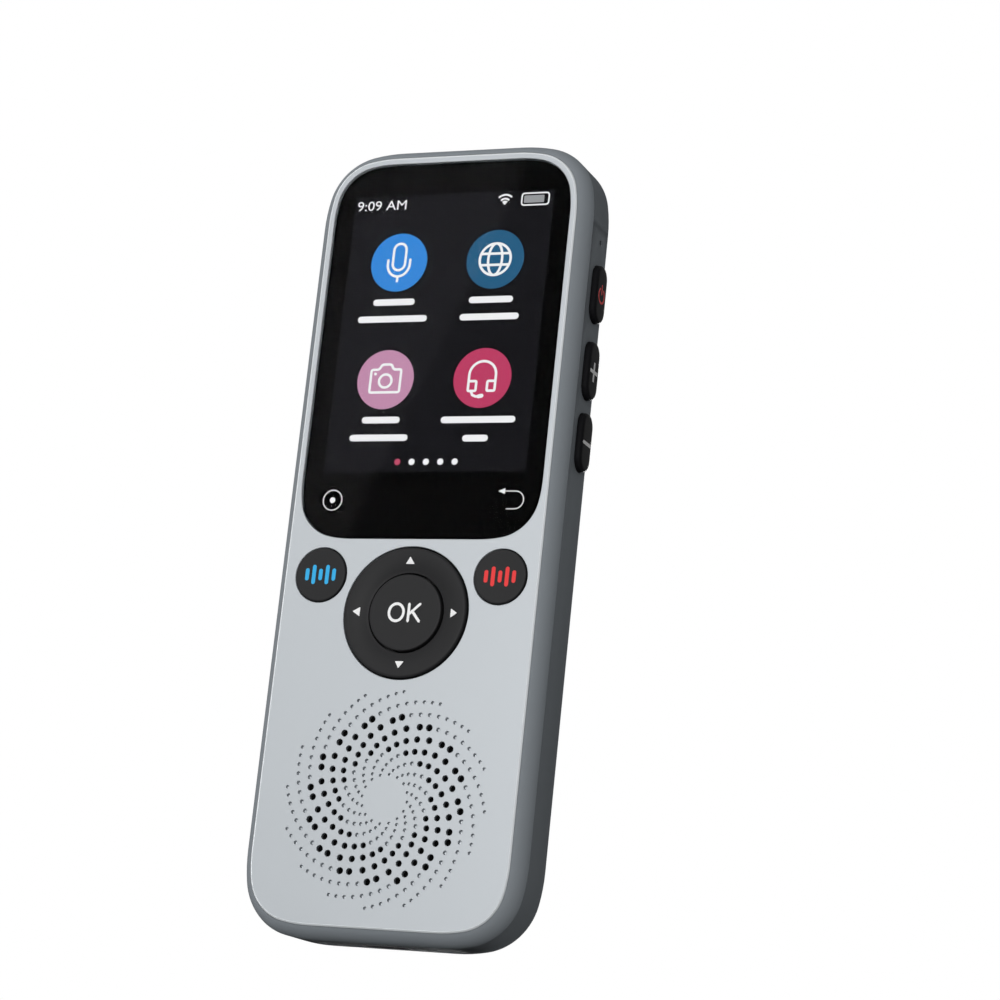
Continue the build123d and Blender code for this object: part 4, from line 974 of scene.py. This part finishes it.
HAIRLINE = 0.16
home = [stroke(ellipse(-16.0, 72.8, 1.72, 1.72), HAIRLINE, closed=True),
        (circle(-16.0, 72.8, 0.5, 20), [])]
back_arrow = [
    stroke([(14.6, 74.35), (17.0, 74.35), *arc(17.0, 72.85, 1.5, 1.5, 90, -90, 14), (15.6, 71.35)],
           HAIRLINE),
    ([(13.9, 74.35), (15.1, 73.85), (15.1, 74.85)], []),
]
marks_on("glass_symbols", home + back_arrow, on_screen(3), 0.01, finishes["screen_white"], "casing")


# ---------------------------------------------------------------- CAD pieces that stay
slots = {part["node"]: part["material_slot"] for part in frame["record"]["subparts"]}
for node, made in frame["nodes"].items():
    for holder in made.material_slots:
        holder.material = hidden_finishes[slots[node]]
frame["nodes"]["usb_socket_shell"].material_slots[0].material = coated(
    "socket_steel", (0.10, 0.10, 0.105), 0.45, 0.6, 0.05, METAL)


# ---------------------------------------------------------------- floor, light and camera
GREY, PALE = (0.3, 0.3, 0.3), (0.9, 0.9, 0.9)


def floor():
    mesh = bpy.data.meshes.new("floor")
    work = bmesh.new()
    bmesh.ops.create_grid(work, x_segments=8, y_segments=8, size=2.5)
    work.to_mesh(mesh)
    work.free()
    made = bpy.data.objects.new("floor", mesh)
    bpy.context.scene.collection.objects.link(made)
    finish = Finish("pale_floor")
    behind, seen = finish.node("NewGeometry", {}, {}, "Backfacing"), finish.seen()
    matt = finish.node("BsdfDiffuse", {}, {"Color": finish.mix(seen, GREY, PALE)})
    white = finish.node("Emission", {}, {"Color": (1, 1, 1, 1)})
    top = finish.node("MixShader", {}, {0: seen * 0.5, 1: matt, 2: white})
    clear = finish.node("BsdfTransparent", {}, {})
    mesh.materials.append(finish.show(finish.node("MixShader", {}, {0: behind, 1: top, 2: clear})))


def softbox(name, place, target, size, power, roll=0):
    """Lamp with a square face that looks at the target, rolled by some degrees."""
    data = bpy.data.lights.new(name, "AREA")
    data.shape, data.size, data.size_y, data.energy = "RECTANGLE", *size, power
    made = bpy.data.objects.new(name, data)
    bpy.context.scene.collection.objects.link(made)
    way = (Vector(target) - Vector(place)).to_track_quat("-Z", "Y").to_matrix().to_4x4()
    made.matrix_world = Matrix.Translation(place) @ way @ Matrix.Rotation(math.radians(roll), 4, "Z")


def surroundings(level):
    """White to look at, and an even light of that level on everything."""
    studio = Finish("studio", bpy.data.worlds)
    dim, white = (studio.node("Background", {}, {"Color": (1, 1, 1, 1), "Strength": k})
                  for k in (level, 1.0))
    blend = studio.node("MixShader", {}, {0: studio.seen(), 1: dim, 2: white})
    bpy.context.scene.world = studio.show(blend, "OutputWorld")


def camera():
    data = bpy.data.cameras.new("camera")
    data.sensor_width, data.lens = 36.0, 103.75
    data.clip_start, data.clip_end = 0.01, 20.0
    made = bpy.data.objects.new("camera", data)
    bpy.context.scene.collection.objects.link(made)
    forward = Vector((-0.38772, 0.88932, 0.24245)).normalized()
    right = forward.cross(Vector((0, -0.26301, 0.96479))).normalized()
    up = right.cross(forward)
    turn = Matrix((right, up, -forward)).transposed()
    made.matrix_world = Matrix.Translation((0.19655, -0.42460, -0.04110)) @ turn.to_4x4()
    bpy.context.scene.camera = made


floor()
surroundings(0.20)
MIDDLE = (0, 0, 0.07)
softbox("key_light", (0.0, -1.10, 0.07), MIDDLE, (0.5, 0.5), 12.5)
softbox("side_light", (-0.597, -0.948, 0.484), MIDDLE, (0.3, 0.55), 1.8, -17.3)
softbox("back_light", (-0.35, 1.05, 0.15), MIDDLE, (0.3, 0.6), 16.0)
camera()
bpy.context.scene.view_settings.view_transform = "Standard"
